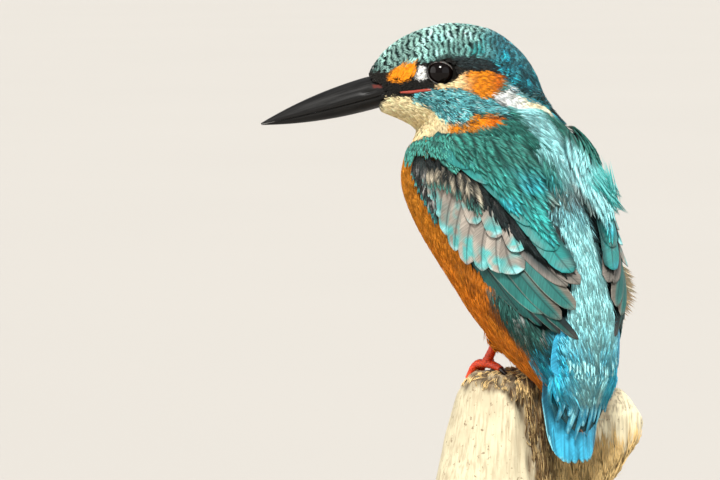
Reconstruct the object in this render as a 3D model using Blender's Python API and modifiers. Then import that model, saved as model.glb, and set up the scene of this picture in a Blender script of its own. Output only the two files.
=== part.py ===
"""A life-size model of a male common kingfisher, looking over its left shoulder.

It grips the broken end of a cut length of branch, which two short rods hold above a round base.
Lengths below are in millimetres, and MM turns them into Blender's metres. The bird's body faces
-Y, +X is its left and +Z is up. The origin is the middle of the base's underside.
"""

import math

import bmesh
import bpy
from mathutils import Matrix, Vector

MM = 0.001
GAP = 0.3  # clearance between neighbouring pieces

# Driving sizes of the bird
FEET_Z = 66.0  # level of the branch under the feet
FOOT_X = 8.0  # each foot's distance from the body's middle plane
BODY_WIDTH = 48.0  # trunk without the wings
HEAD_LENGTH = 45.0  # forehead to the end of the nape feathers
HEAD_HEIGHT = 28.0
HEAD_WIDTH = 22.5
HEAD_TURN = math.radians(55)  # how far the head is turned to the bird's left
BILL_LENGTH = 32.0  # forehead feathers to the tip
BILL_DEPTH = 8.4
BILL_WIDTH = 9.4
BILL_DROP = math.radians(15.9)
BILL_BLUNT = 0.12  # half thickness left at the very tip
BILL_ROOT = 0.34  # share of its length hidden in the face
EYE_RADIUS = 3.8
EYE_FORWARD = 2.4  # eye's centre in the head's frame
EYE_UP = 0.6
EYE_SUNK = 2.9  # its centre's depth under the side of the head
TAIL_LENGTH = 34.0  # from under the rump feathers to the tip
TAIL_WIDTH = 20.0  # at the root; the closed tail narrows a little to its tip

# Branch and stand
BRANCH_BOTTOM_Z = 24.0
BRANCH_RADIUS = 19.0
BASE_RADIUS = 48.0
BASE_HEIGHT = 6.0
ROD_RADIUS = 2.2

# The head's own frame: forward along the bill's heading, then the head's left, then up
HEAD_CENTRE = Vector((11.5, -21.0, FEET_Z + 80.0))
HEAD_FRAME = Matrix.Translation(HEAD_CENTRE) @ Matrix.Rotation(HEAD_TURN - math.pi / 2, 4, "Z")
BILL_FACE = Vector((20.3, 0, -5.1))  # middle of the bill where the feathers end, in the head's frame


def point(p):
    """A place in millimetres as a Blender vector in metres."""
    return Vector(p) * MM


# ---------------------------------------------------------------- scene and materials


def clear_scene():
    for obj in list(bpy.data.objects):
        bpy.data.objects.remove(obj)


def collection(name):
    made = bpy.data.collections.new(name)
    bpy.context.scene.collection.children.link(made)
    return made


def finish(name, colour, roughness, metallic=0.0):
    material = bpy.data.materials.new(name)
    material.use_nodes = True
    shader = material.node_tree.nodes["Principled BSDF"]
    shader.inputs["Base Color"].default_value = (*colour, 1)
    shader.inputs["Roughness"].default_value = roughness
    shader.inputs["Metallic"].default_value = metallic
    return material


clear_scene()
BIRD = collection("Kingfisher")
HELPERS = collection("Cutters")
TEAL = finish("teal feathers", (0.02, 0.22, 0.22), 0.5)
CYAN = finish("cyan feathers", (0.10, 0.62, 0.68), 0.45)
BLUE = finish("blue tail feathers", (0.05, 0.38, 0.62), 0.45)
ORANGE = finish("orange feathers", (0.62, 0.20, 0.02), 0.7)
BILL_BLACK = finish("black horn", (0.02, 0.018, 0.016), 0.35)
EYE_BROWN = finish("dark eye", (0.012, 0.008, 0.006), 0.05)
FOOT_RED = finish("red scutes", (0.55, 0.04, 0.01), 0.4)
CLAW = finish("dark claws", (0.05, 0.04, 0.035), 0.4)
WOOD = finish("weathered wood", (0.68, 0.58, 0.40), 0.85)
STAND = finish("black lacquered stand", (0.03, 0.03, 0.032), 0.4)
STEEL = finish("steel rod", (0.55, 0.56, 0.58), 0.3, 1.0)


# ---------------------------------------------------------------- mesh tools


def add_object(name, mesh, material, home=None):
    obj = bpy.data.objects.new(name, mesh)
    (home or BIRD).objects.link(obj)
    obj.data.materials.clear()
    obj.data.materials.append(material)
    return obj


def mesh_from(name, bm):
    """Turns a bmesh into a mesh with its faces pointing outwards."""
    bmesh.ops.recalc_face_normals(bm, faces=bm.faces)
    if bm.calc_volume(signed=True) < 0:
        bmesh.ops.reverse_faces(bm, faces=bm.faces)
    mesh = bpy.data.meshes.new(name)
    bm.to_mesh(mesh)
    bm.free()
    return mesh


def catmull_rom(a, b, c, d, t):
    """The smooth curve through four values, read a share t of the way from b to c."""
    square = 2 * a - 5 * b + 4 * c - d
    cube = 3 * b - a - 3 * c + d
    return 0.5 * (2 * b + (c - a) * t + square * t**2 + cube * t**3)


def eased(values, share):
    """The smooth value at a share of the way through evenly spaced values."""
    last = len(values) - 1
    place = share * last
    i = min(int(place), last - 1)
    t = place - i
    a, b = values[max(i - 1, 0)], values[i]
    c, d = values[i + 1], values[min(i + 2, last)]
    return catmull_rom(a, b, c, d, t)


def eased_stations(stations, count):
    """More stations, read from a smooth curve through those given."""
    columns = list(zip(*stations))
    return [
        [eased(column, k / (count - 1)) for column in columns]
        for k in range(count)
    ]


def oval(centre, across, along, power=2.0, count=24):
    """A closed ring of points: across and along are its half axes, and a power above 2 squares it."""
    ring = []
    for k in range(count):
        angle = 2 * math.pi * k / count
        c, s = math.cos(angle), math.sin(angle)
        x = math.copysign(abs(c) ** (2 / power), c)
        y = math.copysign(abs(s) ** (2 / power), s)
        ring.append(centre + across * x + along * y)
    return ring


def loft(name, rings):
    """A closed mesh through rings of equal length, with both ends filled."""
    bm = bmesh.new()
    rows = [[bm.verts.new(p * MM) for p in ring] for ring in rings]
    count = len(rings[0])
    for low, high in zip(rows, rows[1:]):
        for k in range(count):
            n = (k + 1) % count
            bm.faces.new((low[k], low[n], high[n], high[k]))
    for row in (rows[0], rows[-1]):
        middle = bm.verts.new(sum((v.co for v in row), Vector()) / count)
        for k in range(count):
            bm.faces.new((row[k], row[(k + 1) % count], middle))
    return mesh_from(name, bm)


def evaluated_mesh(obj):
    """The object's mesh with its modifiers applied, in world space."""
    graph = bpy.context.evaluated_depsgraph_get()
    mesh = bpy.data.meshes.new_from_object(obj.evaluated_get(graph))
    mesh.transform(obj.matrix_world)
    return mesh


def blended(name, meshes, voxel, rounds, keep):
    """Melts closed meshes into one smooth skin, and keeps a share of its faces."""
    bm = bmesh.new()
    for mesh in meshes:
        bm.from_mesh(mesh)
    joined = bpy.data.meshes.new(name)
    bm.to_mesh(joined)
    bm.free()
    obj = add_object(name, joined, TEAL, HELPERS)
    remesh = obj.modifiers.new("melt", "REMESH")
    remesh.mode = "VOXEL"
    remesh.voxel_size = voxel * MM
    smooth = obj.modifiers.new("smooth", "SMOOTH")
    smooth.factor = 0.5
    smooth.iterations = rounds
    decimate = obj.modifiers.new("fewer faces", "DECIMATE")
    decimate.ratio = keep
    mesh = evaluated_mesh(obj)
    bpy.data.objects.remove(obj)
    return mesh


def helper(name, mesh):
    """An object that cuts or guides others and is no part of the bird."""
    obj = add_object(name, mesh, TEAL, HELPERS)
    obj.hide_render = True
    obj.display_type = "WIRE"
    return obj


def swollen(name, mesh, distance):
    """A copy of a closed mesh, moved out along its normals."""
    copy = mesh.copy()
    copy.name = name
    moved = [v.co + v.normal * distance * MM for v in copy.vertices]
    for vertex, place in zip(copy.vertices, moved):
        vertex.co = place
    return copy


def carved(name, mesh, steps):
    """The mesh after Booleans, each given as (operation, cutter object)."""
    obj = helper(name, mesh)
    for operation, cutter in steps:
        boolean = obj.modifiers.new(operation.lower(), "BOOLEAN")
        boolean.operation = operation
        boolean.object = cutter
    result = evaluated_mesh(obj)
    bpy.data.objects.remove(obj)
    return result


def largest_piece(mesh):
    """Drops the slivers that a cut may leave beside the main body."""
    bm = bmesh.new()
    bm.from_mesh(mesh)
    bmesh.ops.remove_doubles(bm, verts=bm.verts, dist=0.01 * MM)
    left = set(bm.faces)
    pieces = []
    while left:
        stack = [left.pop()]
        piece = set(stack)
        while stack:
            for edge in stack.pop().edges:
                for face in edge.link_faces:
                    if face in left:
                        left.discard(face)
                        piece.add(face)
                        stack.append(face)
        pieces.append(piece)
    pieces.sort(key=len)
    bmesh.ops.delete(bm, geom=[f for piece in pieces[:-1] for f in piece], context="FACES")
    return mesh_from(mesh.name, bm)


def half_space(name, centre, normal, size=200.0):
    """A big cube that fills the side of a plane that the normal points to."""
    bm = bmesh.new()
    bmesh.ops.create_cube(bm, size=1)
    turn = Vector(normal).to_track_quat("Z", "Y").to_matrix().to_4x4()
    shift = Matrix.Translation(point(centre)) @ turn @ Matrix.Translation((0, 0, size * MM / 2))
    bmesh.ops.transform(bm, matrix=shift @ Matrix.Scale(size * MM, 4), verts=bm.verts)
    return helper(name, mesh_from(name, bm))


# ---------------------------------------------------------------- body form


def trunk_rings():
    """Level ovals from the vent up to the shoulders."""
    low = FEET_Z
    w = BODY_WIDTH / 2
    stations = [
        # height, front y, back y, half width, middle x
        (low - 9, 15.0, 19.5, 0.12 * w, 0),
        (low - 2, 11.0, 24.0, 0.28 * w, 0),
        (low + 4, 1.5, 26.5, 0.46 * w, 0),
        (low + 11, -6.0, 28.0, 0.66 * w, 0),
        (low + 18, -13.0, 27.5, 0.80 * w, 0),
        (low + 26, -20.5, 25.5, 0.88 * w, 0),
        (low + 34, -29.5, 22.0, 0.93 * w, 0),
        (low + 42, -36.5, 17.5, 0.97 * w, 0),
        (low + 50, -39.5, 12.0, 1.00 * w, 0.3),
        (low + 57, -37.0, 9.0, 0.97 * w, 1.0),
        (low + 64, -31.5, 6.5, 0.82 * w, 2.5),
        (low + 70, -25.0, 3.0, 0.56 * w, 4.0),
    ]
    rings = []
    for z, front, back, half_width, middle in eased_stations(stations, 34):
        centre = Vector((middle, (front + back) / 2, z))
        depth = (back - front) / 2
        rings.append(oval(centre, Vector((half_width, 0, 0)), Vector((0, depth, 0)), power=2.25))
    return rings


def head_rings():
    """Upright ovals from the bill's root to the end of the nape feathers, in the head's frame."""
    length, height, w = HEAD_LENGTH, HEAD_HEIGHT, HEAD_WIDTH / 2
    stations = [
        # share of length behind the bill, top, bottom, half width
        (0.00, 0.03, -0.30, 0.32),
        (0.08, 0.19, -0.37, 0.52),
        (0.18, 0.32, -0.43, 0.72),
        (0.30, 0.405, -0.53, 0.93),
        (0.45, 0.465, -0.62, 1.03),
        (0.60, 0.45, -0.64, 1.06),
        (0.74, 0.385, -0.60, 0.97),
        (0.87, 0.22, -0.52, 0.76),
        (0.95, 0.05, -0.46, 0.52),
        (1.00, -0.13, -0.42, 0.30),
    ]
    rings = []
    front = 21.0
    for share, top, bottom, half in eased_stations(stations, 30):
        middle = Vector((front - share * length, 0, (top + bottom) / 2 * height))
        across = Vector((0, half * w, 0))
        along = Vector((0, 0, (top - bottom) / 2 * height))
        ring = oval(middle, across, along, power=2.1)
        rings.append([HEAD_FRAME @ p for p in ring])
    return rings


def nape_rings():
    """The pointed feathers that hang from the back of the crown over the neck."""
    stations = [
        # behind the head's centre, height, half width, half thickness
        (-14.0, 4.5, 8.0, 3.8),
        (-19.0, -0.5, 7.6, 3.4),
        (-23.4, -6.0, 6.0, 2.9),
        (-27.2, -12.5, 3.2, 2.0),
    ]
    rings = []
    for back, height, half_width, half_thick in eased_stations(stations, 10):
        lean = Vector((0.7, 0, 0.7)) * half_thick
        ring = oval(Vector((back, 0, height)), Vector((0, half_width, 0)), lean, count=16)
        rings.append([HEAD_FRAME @ p for p in ring])
    return rings


def neck_rings():
    """A tapering sleeve that carries the turned head on the shoulders."""
    low = FEET_Z
    stations = [
        # x, y, z, half width, half depth
        (0.5, -13.0, low + 52, 18.5, 19.0),
        (2.0, -13.5, low + 60, 18.0, 19.0),
        (5.0, -15.0, low + 67, 15.0, 16.0),
        (8.0, -17.5, low + 74, 12.0, 13.0),
        (10.0, -20.0, low + 80, 9.0, 9.0),
    ]
    return [
        oval(Vector((x, y, z)), Vector((wide, 0, 0)), Vector((0, deep, 0)))
        for x, y, z, wide, deep in eased_stations(stations, 12)
    ]


def body_form():
    masses = [
        loft("trunk mass", trunk_rings()),
        loft("neck mass", neck_rings()),
        loft("head mass", head_rings()),
        loft("nape mass", nape_rings()),
    ]
    return blended("body form", masses, voxel=0.9, rounds=6, keep=0.0265)


# ---------------------------------------------------------------- bill and eyes


def bill_ring(along, part, swell=0.0):
    """One upright section of the bill, a share of the way to the tip: its upper, lower or whole part."""
    shown, hidden = max(along, 0.0), max(-along, 0.0)
    half_depth = BILL_DEPTH / 2 * (1 - shown**2.1) + BILL_BLUNT + swell
    half_width = BILL_WIDTH / 2 * (1 - shown) ** 0.85 * (1 + 1.5 * hidden) + BILL_BLUNT + swell
    ring = oval(Vector(), Vector((0, half_width, 0)), Vector((0, 0, half_depth)), power=1.8, count=12)
    mouth = -0.28 * half_depth  # the line where the two halves meet
    for p in ring:
        if part == "upper":
            p.z = max(p.z, mouth + GAP / 2)
        elif part == "lower" and p.z > mouth - GAP / 2:
            p.z = mouth - GAP / 2
            p.y *= 0.88  # the lower half closes inside the upper one's edges
    return ring


def bill(name, part, swell=0.0, reach=0.99):
    """A bill half, or the whole outline, from inside the face to a share of the way to the tip."""
    tilt = Matrix.Rotation(BILL_DROP, 4, "Y")
    steps = 9
    rings = []
    for k in range(steps + 1):
        along = -BILL_ROOT - swell / BILL_LENGTH + (reach + BILL_ROOT) * k / steps
        place = Matrix.Translation(BILL_FACE) @ tilt @ Matrix.Translation((BILL_LENGTH * along, 0, 0))
        rings.append([HEAD_FRAME @ (place @ p) for p in bill_ring(along, part, swell)])
    return loft(name, rings)


def eyeball(name, side, swell=0.0):
    bm = bmesh.new()
    bmesh.ops.create_uvsphere(bm, u_segments=12, v_segments=8, radius=(EYE_RADIUS + swell) * MM)
    seat = HEAD_FRAME @ Vector((EYE_FORWARD, side * (HEAD_WIDTH / 2 - EYE_SUNK), EYE_UP))
    bmesh.ops.transform(bm, matrix=Matrix.Translation(point(seat)), verts=bm.verts)
    return mesh_from(name, bm)


# ---------------------------------------------------------------- wings

# A wing lies on a slanting plane: from its bend towards its tip, and from its lower edge up to the back.
WING_BEND = Vector((23.0, -26.0, FEET_Z + 52.0))
WING_TIP = Vector((8.0, 30.0, FEET_Z + 8.0))
WING_OUT = Vector((0.80, 0.52, 0.30)).normalized()


def wing_frame(side):
    """The wing plane's frame: x to the tip, y to the back, z outwards. side is 1 left, -1 right."""
    along = WING_TIP - WING_BEND
    along = (along - WING_OUT * along.dot(WING_OUT)).normalized()
    up = WING_OUT.cross(along)
    frame = Matrix.Identity(4)
    for column, axis in enumerate((along, up, WING_OUT)):
        frame.col[column][:3] = axis
    frame = Matrix.Translation(WING_BEND) @ frame
    return Matrix.Diagonal((side, 1, 1, 1)) @ frame


def outline_points(corners, steps=2):
    """A smooth closed outline through corner points given in the wing plane."""
    count = len(corners)
    points = []
    for i in range(count):
        a, b, c, d = (Vector(corners[(i + k - 1) % count]) for k in range(4))
        for step in range(steps):
            t = step / steps
            points.append(catmull_rom(a, b, c, d, t))
    return points


def prism(name, corners, side, low=-14.0, high=22.0):
    """The outline, extruded through the wing plane to cut a feather plate out of the body's form."""
    frame = wing_frame(side)
    bm = bmesh.new()
    points = outline_points(corners)
    rows = [[bm.verts.new((frame @ Vector((p.x, p.y, z))) * MM) for p in points] for z in (low, high)]
    count = len(points)
    for k in range(count):
        n = (k + 1) % count
        bm.faces.new((rows[0][k], rows[0][n], rows[1][n], rows[1][k]))
    bm.faces.new(rows[0])
    bm.faces.new(rows[1])
    bmesh.ops.triangulate(bm, faces=[f for f in bm.faces if len(f.verts) > 4])
    return helper(name, mesh_from(name, bm))


# Outlines in the wing plane: (towards the tip, towards the back)
PRIMARIES = [(26, -2), (38, -4), (50, -4.5), (59, -3.5), (65, -1), (70, 3.5), (66, 8), (54, 6), (38, 3)]
SECONDARIES = [(34, 3), (46, 1.5), (56, 3.5), (62, 8), (63, 11.5), (56, 14.5), (44, 14), (34, 11)]
COVERTS = [
    (7, 7), (13, 3), (20, 0.5), (28, -3), (38, -3.5),
    (44, 0), (47, 6), (42, 12), (28, 14.5), (14, 14),
]
SHOULDER = [
    (-1, 3), (2, -0.5), (7, 0.5), (10, 5.5), (13, 10),
    (19, 13.5), (17, 20), (8, 20), (1, 15), (-1.5, 9),
]
SCAPULARS = [
    (15, 15), (24, 12.8), (35, 11.8), (47, 11), (56, 12.5),
    (58, 15), (50, 19), (38, 23), (26, 26.3), (18, 24),
]

# Each layer of the folded wing, from the lowest up: its outline and the height of its top above the body
WING_LAYERS = {
    "primaries": (PRIMARIES, 0.9),
    "secondaries": (SECONDARIES, 1.8),
    "coverts": (COVERTS, 2.7),
    "shoulder": (SHOULDER, 3.2),
    "scapulars": (SCAPULARS, 3.7),
}


def feather_pad(name, body, corners, side, top):
    """The body's form grown by top, inside an outline: a solid pad that lies on the body."""
    cutter = prism(name + " outline", corners, side)
    return carved(name, swollen(name + " grown", body, top), [("INTERSECT", cutter)])


def grown_outline(corners, distance):
    """The outline's corners, moved away from their middle by about a distance."""
    middle = sum((Vector(c) for c in corners), Vector((0, 0))) / len(corners)
    return [Vector(c) + (Vector(c) - middle).normalized() * distance for c in corners]


def folded_wing(label, side, body, body_skin):
    """Overlapping feather layers, each cut clear of the body and of the layers under it."""
    seats = [("DIFFERENCE", body_skin)]
    for layer, (corners, top) in WING_LAYERS.items():
        node = f"wing_{label}_{layer}"
        pad = feather_pad(node, body, corners, side, top)
        add_object(node, largest_piece(carved(node, pad, seats)), TEAL)
        seat = feather_pad(node + " seat", body, grown_outline(corners, GAP), side, top + GAP)
        seats.append(("DIFFERENCE", helper(node + " seat", seat)))
    return seats[1:]


# ---------------------------------------------------------------- tail


def tail_fan(name, root, feathers=5, thickness=1.0):
    """The closed tail as one roofed plate whose end shows each rounded tip."""
    bm = bmesh.new()
    columns = feathers * 3 + 1
    rows = 5
    grid = {}
    for layer in (0, 1):
        for i in range(columns):
            across = 2 * i / (columns - 1) - 1
            lobe = abs(math.sin(math.pi * feathers * (across + 1) / 2)) ** 0.5
            end = TAIL_LENGTH * (1 - 0.12 * abs(across) ** 2.4) - 1.2 * (1 - lobe)
            for j in range(rows):
                share = j / (rows - 1)
                half_width = TAIL_WIDTH / 2 * (1 - 0.17 * share)
                roof = 5.0 - 2.4 * share  # the outer feathers lie further forward than the middle pair
                y = -roof * abs(across) ** 1.3 - layer * thickness
                place = root + Vector((across * half_width, y, -end * share))
                grid[layer, i, j] = bm.verts.new(point(place))
    for layer in (0, 1):
        for i in range(columns - 1):
            for j in range(rows - 1):
                corners = ((i, j), (i + 1, j), (i + 1, j + 1), (i, j + 1))
                bm.faces.new([grid[layer, a, b] for a, b in corners])
    for i in range(columns - 1):
        for j in (0, rows - 1):
            bm.faces.new([grid[a, b, j] for a, b in ((0, i), (0, i + 1), (1, i + 1), (1, i))])
    for j in range(rows - 1):
        for i in (0, columns - 1):
            bm.faces.new([grid[a, i, b] for a, b in ((0, j), (0, j + 1), (1, j + 1), (1, j))])
    return mesh_from(name, bm)


def back_tongue(name):
    """The silky feathers down the middle of the back and rump, which run out over the root of the tail."""
    stations = [
        # height, middle y, half width, half thickness
        (FEET_Z + 61, 8.6, 2.5, 1.0),
        (FEET_Z + 50, 13.4, 5.0, 1.7),
        (FEET_Z + 39, 19.8, 5.5, 1.7),
        (FEET_Z + 28, 25.2, 5.5, 1.7),
        (FEET_Z + 18, 28.2, 7.0, 1.9),
        (FEET_Z + 9, 28.2, 9.2, 2.2),
        (FEET_Z + 1, 26.6, 10.8, 2.4),
        (FEET_Z - 6, 25.0, 9.8, 1.9),
        (FEET_Z - 11, 24.0, 6.4, 1.2),
        (FEET_Z - 14, 23.4, 2.4, 0.6),
    ]
    rings = []
    for z, y, half_width, half_thick in eased_stations(stations, 13):
        ring = oval(Vector((0, y, z)), Vector((half_width, 0, 0)), Vector((0, half_thick, 0)), count=10)
        for p in ring:
            p.y -= 4.2 * (p.x / 10.8) ** 2  # rounded over the back
        rings.append(ring)
    return loft(name, rings)


# ---------------------------------------------------------------- legs and feet


def tube(name, path, radii, count=10):
    """A tapering limb through a path of points, each with its radius."""
    rings = []
    for k, place in enumerate(path):
        before, after = path[max(k - 1, 0)], path[min(k + 1, len(path) - 1)]
        axis = (after - before).normalized()
        side = Vector((1, 0, 0)) - axis * axis.x
        side.normalize()
        up = axis.cross(side)
        rings.append(oval(place, side * radii[k], up * radii[k], count=count))
    return loft(name, rings)


def leg_tube(name, side, stations, count=10):
    """Part of a leg, from stations of (y, height above the feet, radius)."""
    path = [Vector((side * FOOT_X, y, FEET_Z + z)) for y, z, radius in stations]
    return tube(name, path, [radius for y, z, radius in stations], count)


def thigh(name, side):
    stations = ((2.5, 17, 5.0), (-0.8, 12.5, 3.8), (-3.6, 9.0, 2.5), (-4.6, 7.8, 1.6))
    return leg_tube(name, side, stations, 14)


def tarsus(name, side):
    return leg_tube(name, side, ((-4.8, 7.4, 1.35), (-6.2, 5.4, 1.2), (-7.2, 4.2, 1.4)))


# Three front toes, joined at their roots, then the hind toe: sideways shift, reach forward, radius, droop
TOES = (
    (2.0, 6.0, 1.10, 12.0),
    (0.2, 7.2, 1.20, 11.0),
    (-1.8, 6.0, 1.05, 12.0),
    (0.3, -6.4, 1.15, 1.5),
)
CLAW_LENGTH = 3.2


def toe_place(side, toe, share):
    """A point on a toe's centre line, which runs level and then bends down over the edge of the wood."""
    shift, reach, radius, droop = toe
    bend = max(0.0, share - 0.5)
    x = side * (FOOT_X + shift * share**0.8)
    return Vector((x, -7.8 - reach * share, FEET_Z + 2.3 - 0.5 * share - droop * bend**1.6))


def foot(name, side):
    """The ankle and the four toes, melted into one piece."""
    ankle = leg_tube("ankle", side, ((-7.5, 3.0, 1.45), (-7.7, 2.4, 1.6), (-7.9, 1.8, 1.6)))
    toes = []
    for toe in TOES:
        path = [toe_place(side, toe, k / 6) for k in range(7)]
        toes.append(tube("toe", path, [toe[2] * (1 - 0.03 * k) for k in range(7)], 10))
    return blended(name, [ankle] + toes, voxel=0.38, rounds=2, keep=0.075)


def claw(name, side, toe):
    """A hooked claw that carries on where its toe ends."""
    end = toe_place(side, toe, 1.0)
    forward = (end - toe_place(side, toe, 0.9)).normalized()
    path = []
    for k in range(5):
        along = CLAW_LENGTH * k / 4
        path.append(end + forward * (along + GAP) - Vector((0, 0, 0.09 * along**2)))
    return tube(name, path, [0.85 * (1 - k / 4.6) for k in range(5)], 7)


# ---------------------------------------------------------------- branch and stand


def branch_form():
    """The broken end of a weathered limb: a stout stub with a lower knob on the bird's right."""
    r = BRANCH_RADIUS
    stub = []
    for z, x, y, wide, deep in (
        (BRANCH_BOTTOM_Z - 3, 7.0, -6.0, 0.98 * r, 0.90 * r),
        (BRANCH_BOTTOM_Z + 10, 5.5, -5.5, 0.94 * r, 0.88 * r),
        (BRANCH_BOTTOM_Z + 24, 4.0, -4.5, 0.86 * r, 0.80 * r),
        (FEET_Z - 6, 2.5, -3.0, 0.83 * r, 0.69 * r),
        (FEET_Z - 1.5, 2.0, -1.5, 0.78 * r, 0.61 * r),
        (FEET_Z + 0.4, 2.0, -0.8, 0.66 * r, 0.50 * r),
    ):
        centre = Vector((x, y, z))
        ring = oval(centre, Vector((wide, 0, 0)), Vector((0, deep, 0)), power=2.4, count=28)
        for k, p in enumerate(ring):
            angle = 2 * math.pi * k / len(ring)
            knots = 0.035 * math.sin(3 * angle + 0.06 * z) + 0.03 * math.sin(5 * angle + 1.3)
            ring[k] = centre + (p - centre) * (1 + knots)
        stub.append(ring)
    knob = []
    for share, wide in ((0.0, 13.0), (0.35, 12.0), (0.65, 10.5), (0.86, 9.5), (1.0, 7.0)):
        centre = Vector((-4.0, -3.0, BRANCH_BOTTOM_Z + 6)).lerp(Vector((-29.0, 6.0, FEET_Z - 10)), share)
        side = Vector((0.55, -0.2, 0.8)).normalized()
        depth = Vector((0.2, 0.97, 0.1))
        knob.append(oval(centre, side * wide * 0.95, depth * wide * 0.85, power=2.6, count=20))
    masses = [loft("stub", stub), loft("knob", knob)]
    return blended("branch form", masses, voxel=1.1, rounds=4, keep=0.036)


def round_bar(name, x, y, low, high, radius, segments):
    bm = bmesh.new()
    bmesh.ops.create_cone(
        bm,
        cap_ends=True,
        segments=segments,
        radius1=radius * MM,
        radius2=radius * MM,
        depth=(high - low) * MM,
        matrix=Matrix.Translation(point((x, y, (low + high) / 2))),
    )
    return mesh_from(name, bm)


ROD_PLACES = (("left", 14.0, -9.0), ("right", -3.0, -2.0))
ROD_REACH = 5.0  # how far a rod's blank runs into the wood before it is cut to fit


def build_stand(wood_skin):
    base = round_bar("stand_base", 0, 0, 0, BASE_HEIGHT, BASE_RADIUS, 40)
    rim = add_object("stand_base", base, STAND).modifiers.new("soft rim", "BEVEL")
    rim.width = 1.2 * MM
    rim.segments = 2
    rim.limit_method = "ANGLE"
    for label, x, y in ROD_PLACES:
        node = "stand_rod_" + label
        rod = round_bar(node, x, y, BASE_HEIGHT + GAP, BRANCH_BOTTOM_Z + ROD_REACH, ROD_RADIUS, 16)
        add_object(node, largest_piece(carved(node, rod, [("DIFFERENCE", wood_skin)])), STEEL)


# ---------------------------------------------------------------- assembly


def build_flesh(body):
    """Parts the body's form into trunk, neck and head, and seats the bill and eyes in the head."""
    add_object("bill_upper", bill("bill_upper", "upper"), BILL_BLACK)
    add_object("bill_lower", bill("bill_lower", "lower", reach=0.93), BILL_BLACK)
    sockets = [helper("bill seat", bill("bill seat", "whole", GAP, reach=0.5))]
    for label, side in (("left", 1), ("right", -1)):
        add_object("eye_" + label, eyeball("eye_" + label, side), EYE_BROWN)
        sockets.append(helper("socket " + label, eyeball("socket", side, GAP)))

    throat = HEAD_FRAME @ Vector((-2.0, 0, -13.5))  # on the cut between the head and the neck
    head_up = Vector((-0.06, 0.06, 1.0)).normalized()
    shoulders = Vector((1.5, -13.0, FEET_Z + 60.5))  # on the cut between the neck and the trunk
    neck_up = Vector((-0.02, 0.0, 1.0)).normalized()
    above_throat = half_space("head side", throat + head_up * GAP / 2, head_up)
    below_throat = half_space("neck top side", throat - head_up * GAP / 2, -head_up)
    above_shoulders = half_space("neck low side", shoulders + neck_up * GAP / 2, neck_up)
    below_shoulders = half_space("trunk side", shoulders - neck_up * GAP / 2, -neck_up)
    seats = [("DIFFERENCE", socket) for socket in sockets]
    head = carved("head", body.copy(), [("INTERSECT", above_throat)] + seats)
    add_object("head", largest_piece(head), TEAL)
    neck = carved("neck", body.copy(), [("INTERSECT", below_throat), ("INTERSECT", above_shoulders)])
    add_object("neck", largest_piece(neck), CYAN)
    return carved("trunk", body.copy(), [("INTERSECT", below_shoulders)])


def build_wings(body, body_skin):
    """Both folded wings. Returns the cuts that keep other pieces clear of them."""
    seats = []
    for label, side in (("left", 1), ("right", -1)):
        seats += folded_wing(label, side, body, body_skin)
    return seats


def build_legs(body_skin, wood_skin):
    for label, side in (("left", 1), ("right", -1)):
        leg = "leg_" + label
        feathered = carved("thigh", thigh("thigh", side), [("DIFFERENCE", body_skin)])
        add_object(leg + "_thigh", largest_piece(feathered), ORANGE)
        add_object(leg + "_tarsus", tarsus("tarsus", side), FOOT_RED)
        toes = carved("foot", foot("foot", side), [("DIFFERENCE", wood_skin)])
        add_object(leg + "_foot", largest_piece(toes), FOOT_RED)
        for number, toe in enumerate(TOES, 1):
            node = f"{leg}_claw_{number}"
            hook = carved(node, claw(node, side, toe), [("DIFFERENCE", wood_skin)])
            add_object(node, largest_piece(hook), CLAW)


def build_tail(body_skin, wing_seats):
    root = Vector((0, 22.5, FEET_Z + 12))
    tail = carved("tail", tail_fan("tail", root), [("DIFFERENCE", body_skin)])
    tail = largest_piece(tail)
    tail_skin = helper("tail skin", swollen("tail skin", tail, GAP))
    add_object("tail", tail, BLUE)
    cuts = [("DIFFERENCE", body_skin), ("DIFFERENCE", tail_skin)] + wing_seats
    add_object("back_feathers", largest_piece(carved("back", back_tongue("back"), cuts)), CYAN)


def main():
    body = body_form()
    body_skin = helper("body skin", swollen("body skin", body, GAP))
    add_object("trunk", largest_piece(build_flesh(body)), ORANGE)
    wing_seats = build_wings(body, body_skin)
    build_tail(body_skin, wing_seats)
    wood = branch_form()
    wood_skin = helper("wood skin", swollen("wood skin", wood, GAP))
    build_legs(body_skin, wood_skin)
    add_object("perch", largest_piece(carved("perch", wood, [("DIFFERENCE", body_skin)])), WOOD)
    build_stand(wood_skin)


main()
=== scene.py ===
"""The looks of a life-size common kingfisher on a cut length of branch, as a Blender add-on.

Each button in the panel makes one piece, or one group of like pieces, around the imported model.
Shapes are worked out in millimetres in the model's own frame: the bird's body faces -Y, +X is its
left and +Z is up.
"""

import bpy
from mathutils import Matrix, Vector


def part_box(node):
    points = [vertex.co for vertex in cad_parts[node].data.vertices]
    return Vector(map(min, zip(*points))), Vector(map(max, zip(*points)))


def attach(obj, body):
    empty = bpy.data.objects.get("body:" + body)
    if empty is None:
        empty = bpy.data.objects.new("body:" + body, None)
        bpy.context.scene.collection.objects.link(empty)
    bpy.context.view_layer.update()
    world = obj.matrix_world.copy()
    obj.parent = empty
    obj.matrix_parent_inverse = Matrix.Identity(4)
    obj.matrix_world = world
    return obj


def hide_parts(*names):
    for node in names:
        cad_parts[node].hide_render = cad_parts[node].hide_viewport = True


bl_info = {
    "name": "Kingfisher Display Model",
    "version": (1, 0, 0),
    "blender": (4, 5, 0),
    "location": "View3D > Sidebar > Kingfisher",
    "description": "Feathers, bill, eyes, feet, perch and stand of a life-size kingfisher",
    "category": "Object",
}

import math

import bmesh
import bpy
import numpy as np
from bpy.props import FloatProperty, FloatVectorProperty, PointerProperty
from bpy.types import Operator, Panel, PropertyGroup
from mathutils import Matrix, Vector
from mathutils.bvhtree import BVHTree

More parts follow.
